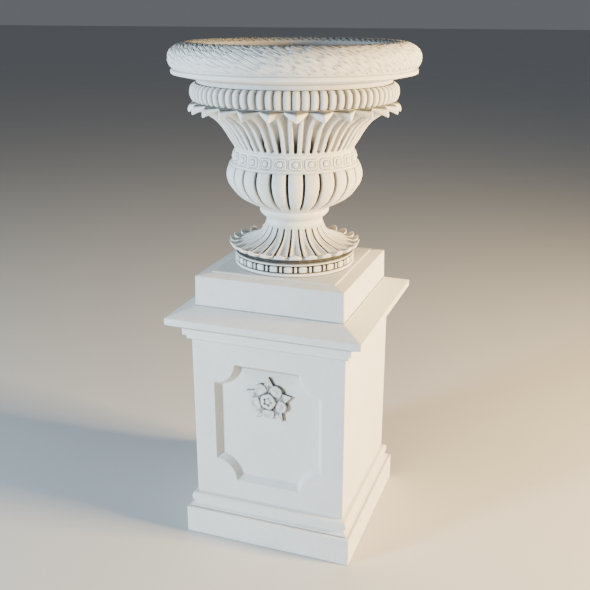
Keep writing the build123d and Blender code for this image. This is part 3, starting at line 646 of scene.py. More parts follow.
@dataclass(frozen=True)
class FloorFinish:
    """Plain pale studio floor.

    Attributes:
        name: Name of the material.
        tone: Its grey.
        second: A grey close to it.
    """

    name: str = "studio_floor"
    tone: Colour = (0.62, 0.62, 0.62, 1.0)
    second: Colour = (0.58, 0.58, 0.585, 1.0)

    def build(self) -> bpy.types.Material:
        """Blend two close greys with a slight unevenness of gloss.

        Returns:
            The material.
        """
        book = Book(self.name)
        cloud = book.noise(1.5, 3.0, 0.5)
        colour = book.mix(cloud, self.tone, self.second)
        return book.finish({"Base Color": colour, "Roughness": (0.7 + cloud * 0.2).clamp()})


class Slot(Enum):
    """The record's material slots."""

    STONE = "stone"
    MORTAR = "mortar"
    STEEL = "steel"
    BRASS = "brass"
    SEAL = "seal"


class Body(Enum):
    """The two bodies that the parts ride on."""

    PEDESTAL = "pedestal"
    URN = "urn"


class Workshop:
    """The finishes, and the ways in which a piece gets one."""

    def __init__(self) -> None:
        """Build one material for each slot."""
        steel = MetalFinish("pin_steel", (0.60, 0.61, 0.63, 1.0), (0.36, 0.36, 0.37, 1.0), 0.30)
        brass = MetalFinish("drain_brass", (0.72, 0.55, 0.27, 1.0), (0.34, 0.26, 0.15, 1.0), 0.32)
        self.materials = {
            Slot.STONE: StoneFinish().build(),
            Slot.MORTAR: MortarFinish().build(),
            Slot.STEEL: steel.build(),
            Slot.BRASS: brass.build(),
            Slot.SEAL: RubberFinish().build(),
        }

    def dress(self, obj: bpy.types.Object, slot: Slot) -> None:
        """Give an object the material of a slot in place of what it had."""
        obj.data.materials.clear()
        obj.data.materials.append(self.materials[slot])

    def hand_over(
        self, obj: bpy.types.Object, node: str, body: Body, slot: Slot = Slot.STONE
    ) -> bpy.types.Object:
        """Dress a new piece, let it stand for a CAD node and put it on its body.

        Args:
            obj: The new piece.
            node: The CAD node that it stands for.
            body: The body that it moves with.
            slot: The material slot.

        Returns:
            The piece.
        """
        self.dress(obj, slot)
        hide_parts(node)
        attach(obj, body.value)
        LOG.info("%s: %d faces on %s", obj.name, len(obj.data.polygons), body.value)
        return obj

    def keep(self, node: str, slot: Slot) -> None:
        """Dress a CAD node that is shown as it is.

        Args:
            node: The CAD node.
            slot: The material slot.
        """
        self.dress(frame["nodes"][node], slot)
        LOG.info("%s: kept as modelled", node)


# ---------------------------------------------------------------------------
# the urn
# ---------------------------------------------------------------------------


@dataclass(frozen=True)
class Gauge:
    """Turns hundredths of the urn's radius and height into millimetres.

    Attributes:
        rim: Radius of the rim.
        foot: Height of the foot's underside above the ground.
        height: Height of the urn that the hundredths are of.
        crown: Share of that height at which the CAD rim's crown lies.
    """

    rim: float
    foot: float
    height: float
    crown: ClassVar[float] = 0.994

    @classmethod
    def of_urn(cls) -> "Gauge":
        """Read the three sizes from the rim and the foot of the CAD urn."""
        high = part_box("rope_rim")[1] / METRES
        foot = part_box("foot_ring")[0].z / METRES
        return cls(max(high.x, high.y), foot, (high.z - foot) / cls.crown)

    def r(self, part: float) -> float:
        """Radius in millimetres."""
        return part * self.rim / 100.0

    def z(self, part: float) -> float:
        """Height above the ground in millimetres."""
        return self.foot + part * self.height / 100.0

    def spots(self, points: Sequence[Pair]) -> list[Pair]:
        """Outline points in millimetres."""
        return [(self.r(radius), self.z(level)) for radius, level in points]


def around(repeats: int, across: Array) -> tuple[Array, Array]:
    """Angles of all columns, and each column's place across its repeat.

    Formula: the repeat's centre is half a repeat past the front, and a place of -1 or 1 is its edge.

    Args:
        repeats: How often the pattern comes round.
        across: Places from -1 up to 1 in one repeat.

    Returns:
        The angles in radians and the places, both for all columns.
    """
    centres = FRONT + (np.arange(repeats) + 0.5) * TURN / repeats
    angles = centres[:, None] + across[None, :] * math.pi / repeats
    return angles.reshape(-1), np.tile(across, repeats)


def column_angles(places: Array) -> Array:
    """Angles of (rows, columns) places across the urn's repeats, in radians."""
    centres = FRONT + (np.arange(REPEATS) + 0.5) * TURN / REPEATS
    return np.repeat(centres, places.shape[1] // REPEATS)[None, :] + places * math.pi / REPEATS


def turn(section: Array, angles: Array) -> Array:
    """Carry (radius, height) positions round the axis.

    Args:
        section: Array of (rows, 2), or of (rows, columns, 2) where it changes round the axis.
        angles: The columns' angles, or an array of (rows, columns) angles.

    Returns:
        Array of (rows, columns, 3) positions.
    """
    if section.ndim == 2:
        section = np.repeat(section[:, None, :], np.shape(angles)[-1], axis=1)
    angles = np.broadcast_to(angles, section.shape[:2])
    radius, height = section[..., 0], section[..., 1]
    return np.stack([radius * np.cos(angles), radius * np.sin(angles), height], -1)


def outward(section: Array) -> Array:
    """Unit normals of a section that runs up the outside: its tangent turned a quarter.

    Args:
        section: Array of (rows, 2) or (rows, columns, 2) radii and heights.

    Returns:
        An array of the same shape.
    """
    tangent = np.gradient(section, axis=0)
    tangent = tangent / np.maximum(np.linalg.norm(tangent, axis=-1, keepdims=True), TINY)
    return np.stack([tangent[..., 1], -tangent[..., 0]], -1)


def carve(section: Array, relief: Array) -> Array:
    """Move a section along its normals.

    Args:
        section: Array of (rows, 2) or (rows, columns, 2) radii and heights.
        relief: Array of (rows, columns) millimetres, outward.

    Returns:
        Array of (rows, columns, 2) radii and heights.
    """
    if section.ndim == 2:
        section = np.repeat(section[:, None, :], relief.shape[1], axis=1)
    return section + outward(section) * relief[..., None]


def fitted(across: Array, share: float, gap: Array) -> Array:
    """Columns moved so that one of them always lies on the edge of a slit.

    Formula: the part of the columns inside the share is spread over the stone, and the rest over the
    slit, whose half width is a part of the half repeat and may change from row to row.

    Args:
        across: Places from -1 to 1 in one repeat, one for each column.
        share: Part of the columns that lie on the stone.
        gap: Half width of the slit in each row, as a part of the half repeat.

    Returns:
        Array of (rows, columns) places.
    """
    size = np.abs(across)[None, :]
    gap = gap[:, None]
    stone = size / share * (1 - gap)
    slit = 1 - gap * (1 - size) / (1 - share)
    return np.sign(across)[None, :] * np.where(size <= share, stone, slit)


def slit_relief(places: Array, gap: Array, depth: Array) -> Array:
    """Relief of a steep-sided slit at the edges of a repeat.

    Formula: the depth times one less the fourth power of the part of the way still left to the middle
    of the slit, so the walls drop at once and the bottom is flat.

    Args:
        places: Array of (rows, columns) places from -1 to 1.
        gap: Half width of the slit in each row, as a part of the half repeat.
        depth: Depth of the slit in each row, in millimetres.

    Returns:
        Array of (rows, columns) millimetres, negative in the slit.
    """
    part = np.clip((np.abs(places) - (1 - gap[:, None])) / gap[:, None], 0.0, 1.0)
    return -depth[:, None] * (1 - (1 - part) ** 4)


def ring_shell(face: Array, back: Sequence[Pair], angles: Array, painted_shade: Array | None = None) -> Shell:
    """Close a carved outer face with plain rows through the back points.

    Args:
        face: Array of (rows, columns, 3) positions of the outer face.
        back: Radii and heights of the inner face, from the top down.
        angles: The columns' angles.
        painted_shade: Dirt of the outer face, or None.

    Returns:
        The closed ring.
    """
    inner = turn(np.asarray(back, float), angles)
    return Shell(np.concatenate([face, inner]), painted_shade=painted_shade)


@dataclass
class Foot:
    """The block ring that stands on the seat, the skirt of leaves over it and the stem.

    Attributes:
        gauge: The urn's measures.
        long_half: Half length of a long block, in millimetres.
        short_half: Half length of a short block.
        gap_depth: Depth between blocks.
        dish: Depth of the hollow along a leaf.
        slit_half: Half width of the slit between two leaves.
        slit_depth: Depth of that slit.
        upturn: Rise of a leaf's tip.
        bore: Radius of the bore for the tie.
        ring_bore: Radius of the block ring's opening.
        bed: How far a ring reaches into the joint under or over it.
        bead_painted_shade: Painted shade under the lower and over the upper bead.
        gap_painted_shade: Painted shade between blocks.
        slit_painted_shade: Painted shade in the slits.
        dish_painted_shade: Painted shade in the middle of a leaf.
        under_painted_shade: Painted shade under the leaf tips.
    """

    gauge: Gauge
    long_half: float = 11.6
    short_half: float = 4.0
    gap_depth: float = 4.2
    dish: float = 3.6
    slit_half: float = 3.9
    slit_depth: float = 5.5
    upturn: float = 9.4
    bore: float = 17.0
    ring_bore: float = 59.8
    bed: float = 1.0
    bead_painted_shade: float = 0.85
    gap_painted_shade: float = 1.35
    slit_painted_shade: float = 1.7
    dish_painted_shade: float = 0.24
    under_painted_shade: float = 0.75

    def block_ring(self) -> bpy.types.Object:
        """Two beads with a band of long and short blocks between them.

        Formula: a block is a hump across its half length, raised to a small power so that its top is
        flat; the higher of the long and the short block counts.

        Returns:
            The ring.
        """
        g = self.gauge
        low = eased(g.spots([(47.5, 0.0), (50.3, 0.0), (50.3, 1.5), (47.9, 1.55)]), 3.9, 6)
        band = eased(g.spots([(47.9, 2.15), (50.2, 2.2), (50.2, 4.6), (47.9, 4.65)]), 1.4, 4)
        high = eased(g.spots([(47.9, 5.15), (50.1, 5.15), (50.1, 6.3), (47.9, 6.35), (47.6, 7.6)]), 2.9, 6)
        rows = [low, band[:4], evenly(band[4:-4], 12), band[-4:], high]
        section = np.vstack(rows)
        level = (section[:, 1] - g.foot) / g.height * 100.0
        angles, place = around(REPEATS, clustered(44, 0.2))
        half = math.pi * g.r(50.2) / REPEATS
        from_long = (1 - np.abs(place)) * half
        from_short = np.abs(place) * half
        long_block = hump(from_long / self.long_half, 0.16)
        short_block = hump(from_short / self.short_half, 0.28)
        in_band = smooth(2.05, 2.25, level) * (1 - smooth(4.65, 4.85, level))
        relief = -in_band[:, None] * self.gap_depth * (1 - np.maximum(long_block, short_block))[None, :]
        # Painted shade in the recessed rows by the beads, under the lower bead, over the upper bead and between
        # blocks.
        recess = (1 - smooth(48.4, 49.8, section[:, 0] / g.rim * 100.0)) * smooth(1.2, 1.6, level)
        shade = self.bead_painted_shade * (1 - smooth(0.15, 0.75, level) + smooth(5.55, 6.1, level))
        painted_shade = np.maximum(np.maximum(recess, shade)[:, None], -self.gap_painted_shade * relief / self.gap_depth)
        top = g.z(7.8) - self.bed
        back = [(g.r(47.6), top), (self.ring_bore, top), (self.ring_bore, g.foot)]
        shell = ring_shell(turn(carve(section, relief), angles), back, angles, painted_shade)
        return build_mesh("block_ring", [shell])

    def leaf_skirt(self) -> bpy.types.Object:
        """Long dished leaves with raised edges, parted by slits, with turned-up pointed tips.

        Formula: the section is blended between one at the middle of a leaf and one at the slit, which
        stops short; the blend is nearly square across the leaf, so the tips are folded up along a
        straight line. The upturn is a pointed arch across the leaf and fades along it.

        Returns:
            The skirt.
        """
        g = self.gauge
        tip = [(45.8, 8.0), (49.0, 8.1), (52.0, 8.35), (53.5, 8.8), (54.1, 9.25), (53.8, 9.45)]
        root = [(45.8, 8.0), (46.0, 8.05), (46.3, 8.2), (46.5, 8.45), (46.5, 8.7), (46.4, 8.9)]
        upper = [
            (52.6, 9.4), (50.6, 9.3), (48.0, 9.6), (44.5, 10.15),
            (40.0, 10.9), (35.3, 11.9), (30.4, 13.5),
        ]
        root_upper = [
            (46.2, 9.1), (45.8, 9.3), (45.0, 9.75), (43.2, 10.25),
            (40.0, 10.9), (35.3, 11.9), (30.4, 13.5),
        ]
        top = [(27.3, 15.2), (25.4, 17.0), (24.3, 18.7)]
        steps = 7
        middle = flowing(g.spots([*tip, *upper, *top]), steps)
        slit = flowing(g.spots([*root, *root_upper, *top]), steps)
        angles, place = around(REPEATS, clustered(34, 0.35))
        radius = middle[:, 0]
        half = math.pi * radius / REPEATS
        gap = np.clip(self.slit_half * (0.6 + 0.4 * radius / g.r(50.0)) / half, 0.05, 0.6)
        places = fitted(place, 0.84, gap)
        on_leaf = np.clip(np.abs(places) / (1 - gap[:, None]), 0.0, 1.0)
        blend = np.where(np.abs(places) > 1 - gap[:, None], 0.0, (1 - on_leaf**5) ** 0.3)[..., None]
        section = middle[:, None, :] * blend + slit[:, None, :] * (1 - blend)
        row = np.arange(len(middle)) / steps
        upturn = smooth(3.4, 5.0, row) * (1 - smooth(5.2, 7.6, row))
        arch = (0.50 * (1 - on_leaf**2.4) + 0.50 * (1 - on_leaf)) * self.upturn
        section = section + upturn[:, None, None] * arch[..., None] * np.array([0.42, 0.91])
        level = (middle[:, 1] - g.foot) / g.height * 100.0
        on_top = smooth(5.3, 6.6, row) * (1 - smooth(18.0, 18.75, level))
        hollow = self.dish * hump(on_leaf / 0.80, 0.8) * (0.25 + 0.75 * smooth(72.0, 125.0, radius))[:, None]
        relief = -hollow * on_top[:, None]
        depth = self.slit_depth * on_top * (0.6 + 0.4 * smooth(80.0, 130.0, radius))
        cut = slit_relief(places, gap, depth)
        # Painted shade in the slits, in the leaves' dishes and under the tips.
        under = (1 - smooth(0.6, 2.2, row))[:, None]
        dish = (hollow / self.dish) ** 2 * on_top[:, None]
        painted_shade = -self.slit_painted_shade * cut / self.slit_depth + self.dish_painted_shade * dish + self.under_painted_shade * under
        face = turn(carve(section, relief + cut), column_angles(places))
        high, low = g.z(18.9) - self.bed, g.z(7.8) + self.bed
        back = [(g.r(24.2), high), (self.bore, high), (self.bore, low), (g.r(45.4), low)]
        return build_mesh("leaf_skirt", [ring_shell(face, back, angles, painted_shade)])

    def stem(self) -> bpy.types.Object:
        """Plain waisted stem under a cushion knop.

        Returns:
            The stem.
        """
        g = self.gauge
        points = [
            (23.7, 19.07), (23.3, 20.6), (23.8, 21.7), (25.9, 22.6),
            (27.9, 23.7), (28.8, 24.9), (28.5, 26.13),
        ]
        section = evenly(flowing(g.spots(points), 10), 48)
        angles, _ = around(REPEATS, clustered(8, 0.0))
        low, high = section[0, 1], section[-1, 1]
        back = [(self.bore, high), (self.bore, low)]
        return build_mesh("stem_knop", [ring_shell(turn(section, angles), back, angles)])


@dataclass
class Cup:
    """The lobed bowl, the girdle of bosses and the fluted calyx with its leaf tips.

    Attributes:
        gauge: The urn's measures.
        slit_half: Half width of the slits between lobes at the belly, in millimetres.
        slit_depth: Depth of those slits.
        camber: Fall of a lobe from its middle to its edge.
        flute_depth: Depth of the deep flute under a leaf tip.
        channel_depth: Depth of the channel between two leaves.
        boss: Radius of a girdle boss.
        boss_height: Its height.
        frame: Half width, half height and corner radius of the frame round a boss.
        frame_height: Its height.
        groove: Depth of the grooves beside frame and boss.
        bore: Radius of the bore for the tie.
        inside: Radius of the opening through the girdle, in hundredths.
        bed: How far the calyx reaches into the joints under and over it.
        slit_painted_shade: Painted shade in the slits.
        groove_painted_shade: Painted shade in the girdle's grooves.
        flute_painted_shade: Painted shade in the flutes, all along and more at their lower ends.
        channel_painted_shade: Painted shade in the channels.
        tip_painted_shade: Painted shade on top of the leaf tips, under the lobe ring.
    """

    gauge: Gauge
    slit_half: float = 4.1
    slit_depth: float = 8.5
    camber: float = 3.2
    flute_depth: float = 11.5
    channel_depth: float = 8.0
    boss: float = 7.2
    boss_height: float = 3.4
    frame: tuple[float, float, float] = (17.2, 13.4, 7.5)
    frame_height: float = 2.0
    groove: float = 0.9
    bore: float = 17.0
    inside: float = 41.0
    bed: float = 1.0
    slit_painted_shade: float = 1.7
    groove_painted_shade: float = 0.30
    flute_painted_shade: Pair = (0.34, 0.95)
    channel_painted_shade: float = 0.46
    tip_painted_shade: float = 0.95

    def lobed_bowl(self) -> bpy.types.Object:
        """Flat-convex lobes parted by deep slits that taper to rounded ends at the knop.

        Formula: a lobe falls from its middle by a square and an eighth power of the place across it, and
        the slits are those of slit_relief.

        Returns:
            The bowl.
        """
        g = self.gauge
        points = [
            (29.6, 26.5), (30.6, 27.0), (32.2, 27.6), (35.0, 28.3), (38.1, 29.1), (43.4, 30.8), (47.5, 32.6),
            (50.1, 34.2), (54.0, 37.4), (55.7, 40.4), (55.8, 42.3), (55.2, 44.2), (53.9, 46.2),
        ]
        section = evenly(flowing(g.spots(points), 8), 74)
        along = arc_length(section)
        angles, place = around(REPEATS, clustered(32, 0.1))
        half = math.pi * section[:, 0] / REPEATS
        start = hump(np.clip(1 - (along - 10.0) / 22.0, 0.0, 1.0), 0.5)
        gap = np.clip(self.slit_half * (0.35 + 0.65 * section[:, 0] / g.r(55.8)) * start / half, 0.02, 0.6)
        places = fitted(place, 0.82, gap)
        on_lobe = np.clip(np.abs(places) / (1 - gap[:, None]), 0.0, 1.0)
        body = self.camber * (0.3 + 0.7 * smooth(0.0, 60.0, along)) * smooth(6.0, 22.0, along)
        relief = -body[:, None] * (0.75 * on_lobe**2 + 0.25 * on_lobe**8)
        cut = slit_relief(places, gap, self.slit_depth * smooth(8.0, 26.0, along))
        relief = relief + cut
        grid = column_angles(places)
        low, high = section[0, 1], section[-1, 1]
        inner = flowing(g.spots([(41.0, 44.0), (43.6, 41.5), (43.6, 39.0), (41.0, 36.0), (31.5, 32.8)]), 5)
        back = np.vstack([[(g.r(self.inside), high)], inner, [(self.bore, g.z(32.8)), (self.bore, low)]])
        # Painted shade in the slits.
        painted_shade = -self.slit_painted_shade * cut / self.slit_depth
        shell = ring_shell(turn(carve(section, relief), grid), back, angles, painted_shade)
        return build_mesh("lobed_bowl_carved", [shell])

    def girdle(self) -> bpy.types.Object:
        """Band of low rounded-square frames with a round boss in each, under a smooth neck.

        Formula: the relief is a rounded-square ring, from the distance to a square with rounded corners,
        plus a spherical cap at its middle.

        Returns:
            The girdle.
        """
        g = self.gauge
        lip = eased(g.spots([(51.5, 46.55), (52.9, 46.6), (52.7, 47.3), (50.6, 47.5)]), 1.6, 4)
        body = flowing(
            g.spots([(50.6, 47.55), (50.3, 48.6), (50.2, 50.1), (49.8, 51.3), (49.0, 52.5), (48.6, 53.6)]), 12
        )
        section = np.vstack([lip, body])
        angles, place = around(REPEATS, clustered(40, 0.0))
        level = (section[:, 1] - g.z(50.0))[:, None]
        half = math.pi * g.r(50.4) / REPEATS
        across = (place * half)[None, :]
        square = self._rounded_square(across, level, *self.frame)
        frame_ring = hump(np.clip((square + 2.4) / 2.6, -1.0, 1.0), 0.8)
        cap = hump(np.clip(np.hypot(across, level) / self.boss, 0.0, 1.0), 0.6)
        round_boss = np.hypot(across, level) - self.boss - 1.0
        groove = np.exp(-((square / 1.3) ** 2)) + np.exp(-((round_boss / 1.2) ** 2))
        relief = self.frame_height * frame_ring + self.boss_height * cap - self.groove * groove
        on_body = (np.arange(len(section)) >= len(lip))[:, None]
        relief = relief * on_body
        # Painted shade in the grooves beside the frames and bosses.
        painted_shade = self.groove_painted_shade * groove * on_body
        low, high = section[0, 1], section[-1, 1]
        back = [(g.r(self.inside), high), (g.r(self.inside), low)]
        shell = ring_shell(turn(carve(section, relief), angles), back, angles, painted_shade)
        return build_mesh("boss_girdle", [shell])

    @staticmethod
    def _rounded_square(x: Array, y: Array, half_x: float, half_y: float, corner: float) -> Array:
        """Signed distance to a rounded rectangle, negative inside it.

        Args:
            x: Places across it.
            y: Places up it.
            half_x: Its half width.
            half_y: Its half height.
            corner: Radius of its corners.

        Returns:
            The distances.
        """
        over_x = np.abs(x) - (half_x - corner)
        over_y = np.abs(y) - (half_y - corner)
        outside = np.hypot(np.maximum(over_x, 0.0), np.maximum(over_y, 0.0))
        return outside + np.minimum(np.maximum(over_x, over_y), 0.0) - corner

    def calyx(self) -> bpy.types.Object:
        """Flaring fluted cup whose leaves end in turned-out, hanging triangular tips.

        Formula: two sections with the same number of steps, one through a tip's middle and one through
        the notch beside it, are blended by one less the place across the leaf, which makes the free edge
        a straight zigzag. The deep flute and the shallow channel are round hollows whose half widths and
        depths grow up the leaf and close at its edge.

        Returns:
            The calyx.
        """
        g = self.gauge
        steps = 8
        tip_under = [
            (48.9, 54.0), (49.8, 54.9), (52.7, 57.4), (56.1, 60.6), (60.2, 63.7), (65.0, 66.0), (71.5, 67.8),
            (78.5, 68.9), (84.7, 69.5),
        ]
        notch_under = [
            (48.9, 54.0), (49.8, 54.9), (52.7, 57.4), (56.1, 60.6), (60.0, 63.9), (64.0, 66.8), (68.2, 69.3),
            (72.4, 71.4), (76.0, 72.9),
        ]
        tip_face = [(84.9, 69.7), (85.2, 70.6), (84.6, 72.0), (82.6, 73.6)]
        notch_face = [(76.1, 73.0), (76.25, 73.15), (76.3, 73.35), (76.2, 73.6)]
        angles, place = around(REPEATS, clustered(34, 0.15))
        reach = (1 - np.abs(place))[None, :, None]
        parts = []
        for tip, notch in ((tip_under, notch_under), (tip_face, notch_face)):
            middle, beside = flowing(g.spots(tip), steps), flowing(g.spots(notch), steps)
            parts.append(middle[:, None, :] * reach + beside[:, None, :] * (1 - reach))
        under, edge = parts
        rows = np.linspace(0.0, 1.0, len(under))[:, None]
        size = np.abs(place)[None, :]
        start = hump(np.clip(1 - (rows - 0.055) / 0.06, 0.0, 1.0), 0.5)
        flute_half = (0.21 + 0.27 * rows**1.3) * np.maximum(start, 0.02)
        channel_half = 0.26 + 0.14 * rows
        closing = 1 - smooth(0.90, 1.0, rows)
        flute = self.flute_depth * (0.8 + 0.2 * smooth(0.05, 0.5, rows)) * hump(size / flute_half, 0.38)
        flute = flute * (rows > 0.055)
        channel = self.channel_depth * smooth(0.01, 0.12, rows) * hump((1 - size) / channel_half, 0.6)
        relief = (-flute - channel) * closing
        # Painted shade in the flutes, most at their lower ends, in the channels, and on the tips' upper rows under
        # the lobe ring.
        low_flute = 1 - smooth(0.14, 0.50, rows)
        along_flute, low_end = self.flute_painted_shade
        painted_shade = np.minimum(1.4 * flute / self.flute_depth, 1.0) * (along_flute + low_end * low_flute) * closing
        painted_shade = painted_shade + self.channel_painted_shade * channel / self.channel_depth * closing
        rise = np.linspace(0.0, 1.0, len(edge))[:, None] + 0.0 * size
        painted_shade = np.concatenate([painted_shade, self.tip_painted_shade * smooth(0.66, 0.95, rise)])
        face = np.concatenate([carve(under, relief), edge])
        high, low = g.z(74.0) - self.bed, g.z(53.8) + self.bed
        top = np.array([(g.r(75.5), high), (g.r(69.5), high)])
        inner = flowing(g.spots([(69.2, 73.4), (68.0, 72.6), (57.0, 68.0), (48.5, 62.5), (42.5, 56.0)]), 4)
        back = np.vstack([top, inner, [(g.r(self.inside), low)]])
        return build_mesh("leaf_calyx_carved", [ring_shell(turn(face, angles), back, angles, painted_shade)])


@dataclass
class Crown:
    """The ring of small lobes, the plain neck and the broad rim laid with slanting strands.

    Attributes:
        gauge: The urn's measures.
        lobe_depth: Depth between two small lobes, in millimetres.
        strand_depth: Depth between two strands.
        slant: Sideways run of a strand on the outer face, as a part of its run over the face.
        shoulder: Length of face over which the strands keep that slant.
        leaf_length: Length of the overlapping leaves along a strand.
        leaf_height: How far a leaf stands over the next.
        fibres: Rows of leaves in a strand.
        seed: Seed of the leaves' stagger.
        inside: Radius of the opening through the lobe ring, in hundredths.
        groove_painted_shade: Painted shade between two small lobes.
        joint_painted_shade: Painted shade at the foot and the top of the lobe ring.
        neck_painted_shade: Painted shade on the neck under the rim.
    """

    gauge: Gauge
    lobe_depth: float = 6.5
    strand_depth: float = 2.0
    slant: float = 1.757
    shoulder: float = 96.0
    leaf_length: float = 21.0
    leaf_height: float = 2.6
    fibres: int = 3
    seed: int = 7
    inside: float = 69.5
    groove_painted_shade: float = 0.80
    joint_painted_shade: float = 0.95
    neck_painted_shade: float = 0.26

    def lobe_ring(self) -> bpy.types.Object:
        """Ring of small upright lobes with round backs.

        Formula: a lobe falls from its middle by a power of the place across it, less at its two ends.

        Returns:
            The ring.
        """
        g = self.gauge
        points = [
            (79.0, 74.2), (80.9, 74.45), (82.3, 75.3), (83.3, 76.8), (83.5, 78.2), (83.1, 79.8), (81.9, 81.0),
            (79.6, 81.85), (78.4, 81.93),
        ]
        section = evenly(flowing(g.spots(points), 8), 40)
        part = np.linspace(0.0, 1.0, len(section))[:, None]
        angles, place = around(SMALL, clustered(14, 0.35))
        ends = smooth(0.0, 0.12, part) * (1 - smooth(0.90, 1.0, part))
        round_back = np.abs(place[None, :]) ** 2.2
        relief = -self.lobe_depth * round_back * (0.35 + 0.65 * ends)
        # Painted shade between the lobes and at the ring's foot and top.
        shut = np.maximum(1 - smooth(0.0, 0.20, part), smooth(0.90, 1.0, part))
        painted_shade = np.maximum(self.groove_painted_shade * np.abs(place[None, :]) ** 1.4, self.joint_painted_shade * shut)
        low, high = section[0, 1], section[-1, 1]
        back = [(g.r(self.inside), high), (g.r(self.inside), low)]
        shell = ring_shell(turn(carve(section, relief), angles), back, angles, painted_shade)
        return build_mesh("lobe_ring", [shell])

    def neck(self) -> bpy.types.Object:
        """Plain band that flows out under the rim to a rounded fillet.

        Returns:
            The neck.
        """
        g = self.gauge
        spots = [(77.8, 82.27), (78.0, 83.0), (78.6, 83.8), (81.0, 84.2), (85.5, 84.6), (91.4, 85.3)]
        band = flowing(g.spots(spots), 7)
        fillet = eased(g.spots([(91.6, 85.33), (97.3, 86.0), (97.5, 87.6), (96.4, 87.73)]), 3.0, 5)
        section = np.vstack([band, fillet])
        angles, _ = around(REPEATS, clustered(12, 0.0))
        low, high = section[0, 1], section[-1, 1]
        back = [(g.r(70.6), high), (g.r(self.inside), low)]
        # Painted shade on the neck under the rim, fading out towards the fillet.
        painted_shade = self.neck_painted_shade * (1 - smooth(82.0, 92.0, section[:, 0] / g.rim * 100.0))[:, None]
        return build_mesh("neck_band", [ring_shell(turn(section, angles), back, angles, painted_shade)])

    def strand_rim(self) -> bpy.types.Object:
        """Rolled rim of strands that slant up to the left and turn inward over the crown.

        Formula: every column follows one line of a strand: its angle falls by the slant times the length
        over the face, divided by the radius, and by less of that past the shoulder. Across a strand the
        relief is a round back; along each row of leaves the height rises slowly and falls at the next tip.

        Returns:
            The rim.
        """
        g = self.gauge
        points = [
            (95.8, 88.07), (97.4, 88.6), (98.6, 89.5), (99.6, 90.8), (100.0, 92.3), (99.5, 94.3), (98.0, 95.9),
            (95.0, 97.3), (91.6, 98.3), (87.2, 99.1), (83.0, 99.3), (79.8, 99.1), (78.0, 98.7), (77.3, 98.0),
            (77.0, 97.2),
        ]
        section = evenly(flowing(g.spots(points), 8), 76)
        along = arc_length(section)
        per_strand = 15
        angles, place = around(SMALL, clustered(per_strand, 0.3))
        lean = np.where(along < self.shoulder, self.slant, self.slant * 0.45)
        swing = -np.cumsum(np.diff(along, prepend=0.0) * lean / section[:, 0])
        grid = angles[None, :] + swing[:, None]
        slip = int(round(-swing[-1] / (TURN / (SMALL * per_strand))))
        strand = np.repeat(np.arange(SMALL), per_strand)
        fibre = np.minimum(((place + 1) * 0.5 * self.fibres).astype(int), self.fibres - 1)
        within = np.mod((place + 1) * 0.5 * self.fibres, 1.0) * 2 - 1
        shift = np.random.default_rng(self.seed).random((SMALL, self.fibres))[strand, fibre]
        round_back = 1 - np.sqrt(1 - (0.96 * place[None, :]) ** 2)
        ridge = 1 - np.abs(within[None, :]) ** 2
        lengths = along[:, None] / self.leaf_length + shift[None, :] + 0.22 * np.abs(within)[None, :]
        phase = np.mod(lengths, 1.0)
        overlap = phase**1.4 * (1 - smooth(0.88, 1.0, phase))
        leaf = self.leaf_height * (0.45 * ridge + 0.55) * overlap + 0.7 * ridge
        ends = smooth(0.0, 4.0, along) * (1 - smooth(along[-1] - 7.0, along[-1], along))
        scallop = 3.2 * smooth(along[-1] - 24.0, along[-1] - 8.0, along)
        relief = -self.strand_depth * round_back + leaf - self.leaf_height - 0.7
        relief = relief * ends[:, None] - scallop[:, None] * place[None, :] ** 2 * ends[:, None]
        # Painted shade on the strands' sides, where each leaf starts, and over the crown's top and inner slope.
        top = smooth(70.0, 105.0, along)[:, None]
        inner = smooth(76.0, 100.0, along)[:, None]
        painted_shade = (0.12 + 0.35 * top) * round_back**1.5 + 0.28 * (1 - smooth(0.0, 0.34, phase)) + 0.40 * inner
        painted_shade = painted_shade * ends[:, None]
        bottom = g.z(87.9) + 1.0
        mouth = (g.r(77.0), g.z(97.2))
        back = np.vstack([straight(mouth, (g.r(71.0), bottom), 5), [(g.r(71.0), bottom)]])
        face = turn(carve(section, relief), grid)
        inside = turn(back, angles + swing[-1])
        return build_mesh("strand_rim", [Shell(np.concatenate([face, inside]), True, -slip, painted_shade)])


@dataclass
class Urn:
    """All carved rings of the urn.

    Attributes:
        workshop: Where the rings are dressed and handed over.
        foot: The block ring, the leaf skirt and the stem.
        cup: The bowl, the girdle and the calyx.
        crown: The lobe ring, the neck and the rim.
    """

    workshop: Workshop
    foot: Foot
    cup: Cup
    crown: Crown

    def build(self) -> None:
        """Make every ring and put it on the urn's body in place of its CAD node."""
        rings = (
            (self.foot.block_ring, "foot_ring"),
            (self.foot.leaf_skirt, "foot_leaves"),
            (self.foot.stem, "stem"),
            (self.cup.lobed_bowl, "lobed_bowl"),
            (self.cup.girdle, "girdle"),
            (self.cup.calyx, "leaf_calyx"),
            (self.crown.lobe_ring, "gadroon_ring"),
            (self.crown.neck, "neck_ring"),
            (self.crown.strand_rim, "rope_rim"),
        )
        for make, node in rings:
            self.workshop.hand_over(make(), node, Body.URN)


# ---------------------------------------------------------------------------
# the pedestal
# ---------------------------------------------------------------------------


@dataclass(frozen=True)
class Block:
    """Turns parts of the pedestal's width and height into millimetres.

    Attributes:
        width: Width of the plinth.
        height: Height of the pedestal's top above the ground.
    """

    width: float
    height: float

    @classmethod
    def of_pedestal(cls) -> "Block":
        """Read the two sizes from the plinth and the seat block of the CAD pedestal."""
        low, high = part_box("plinth")
        return cls((high.x - low.x) / METRES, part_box("seat_block")[1].z / METRES)

    def spots(self, points: Sequence[Pair]) -> list[Pair]:
        """Half widths and heights in millimetres."""
        return [(half * self.width, level * self.height) for half, level in points]


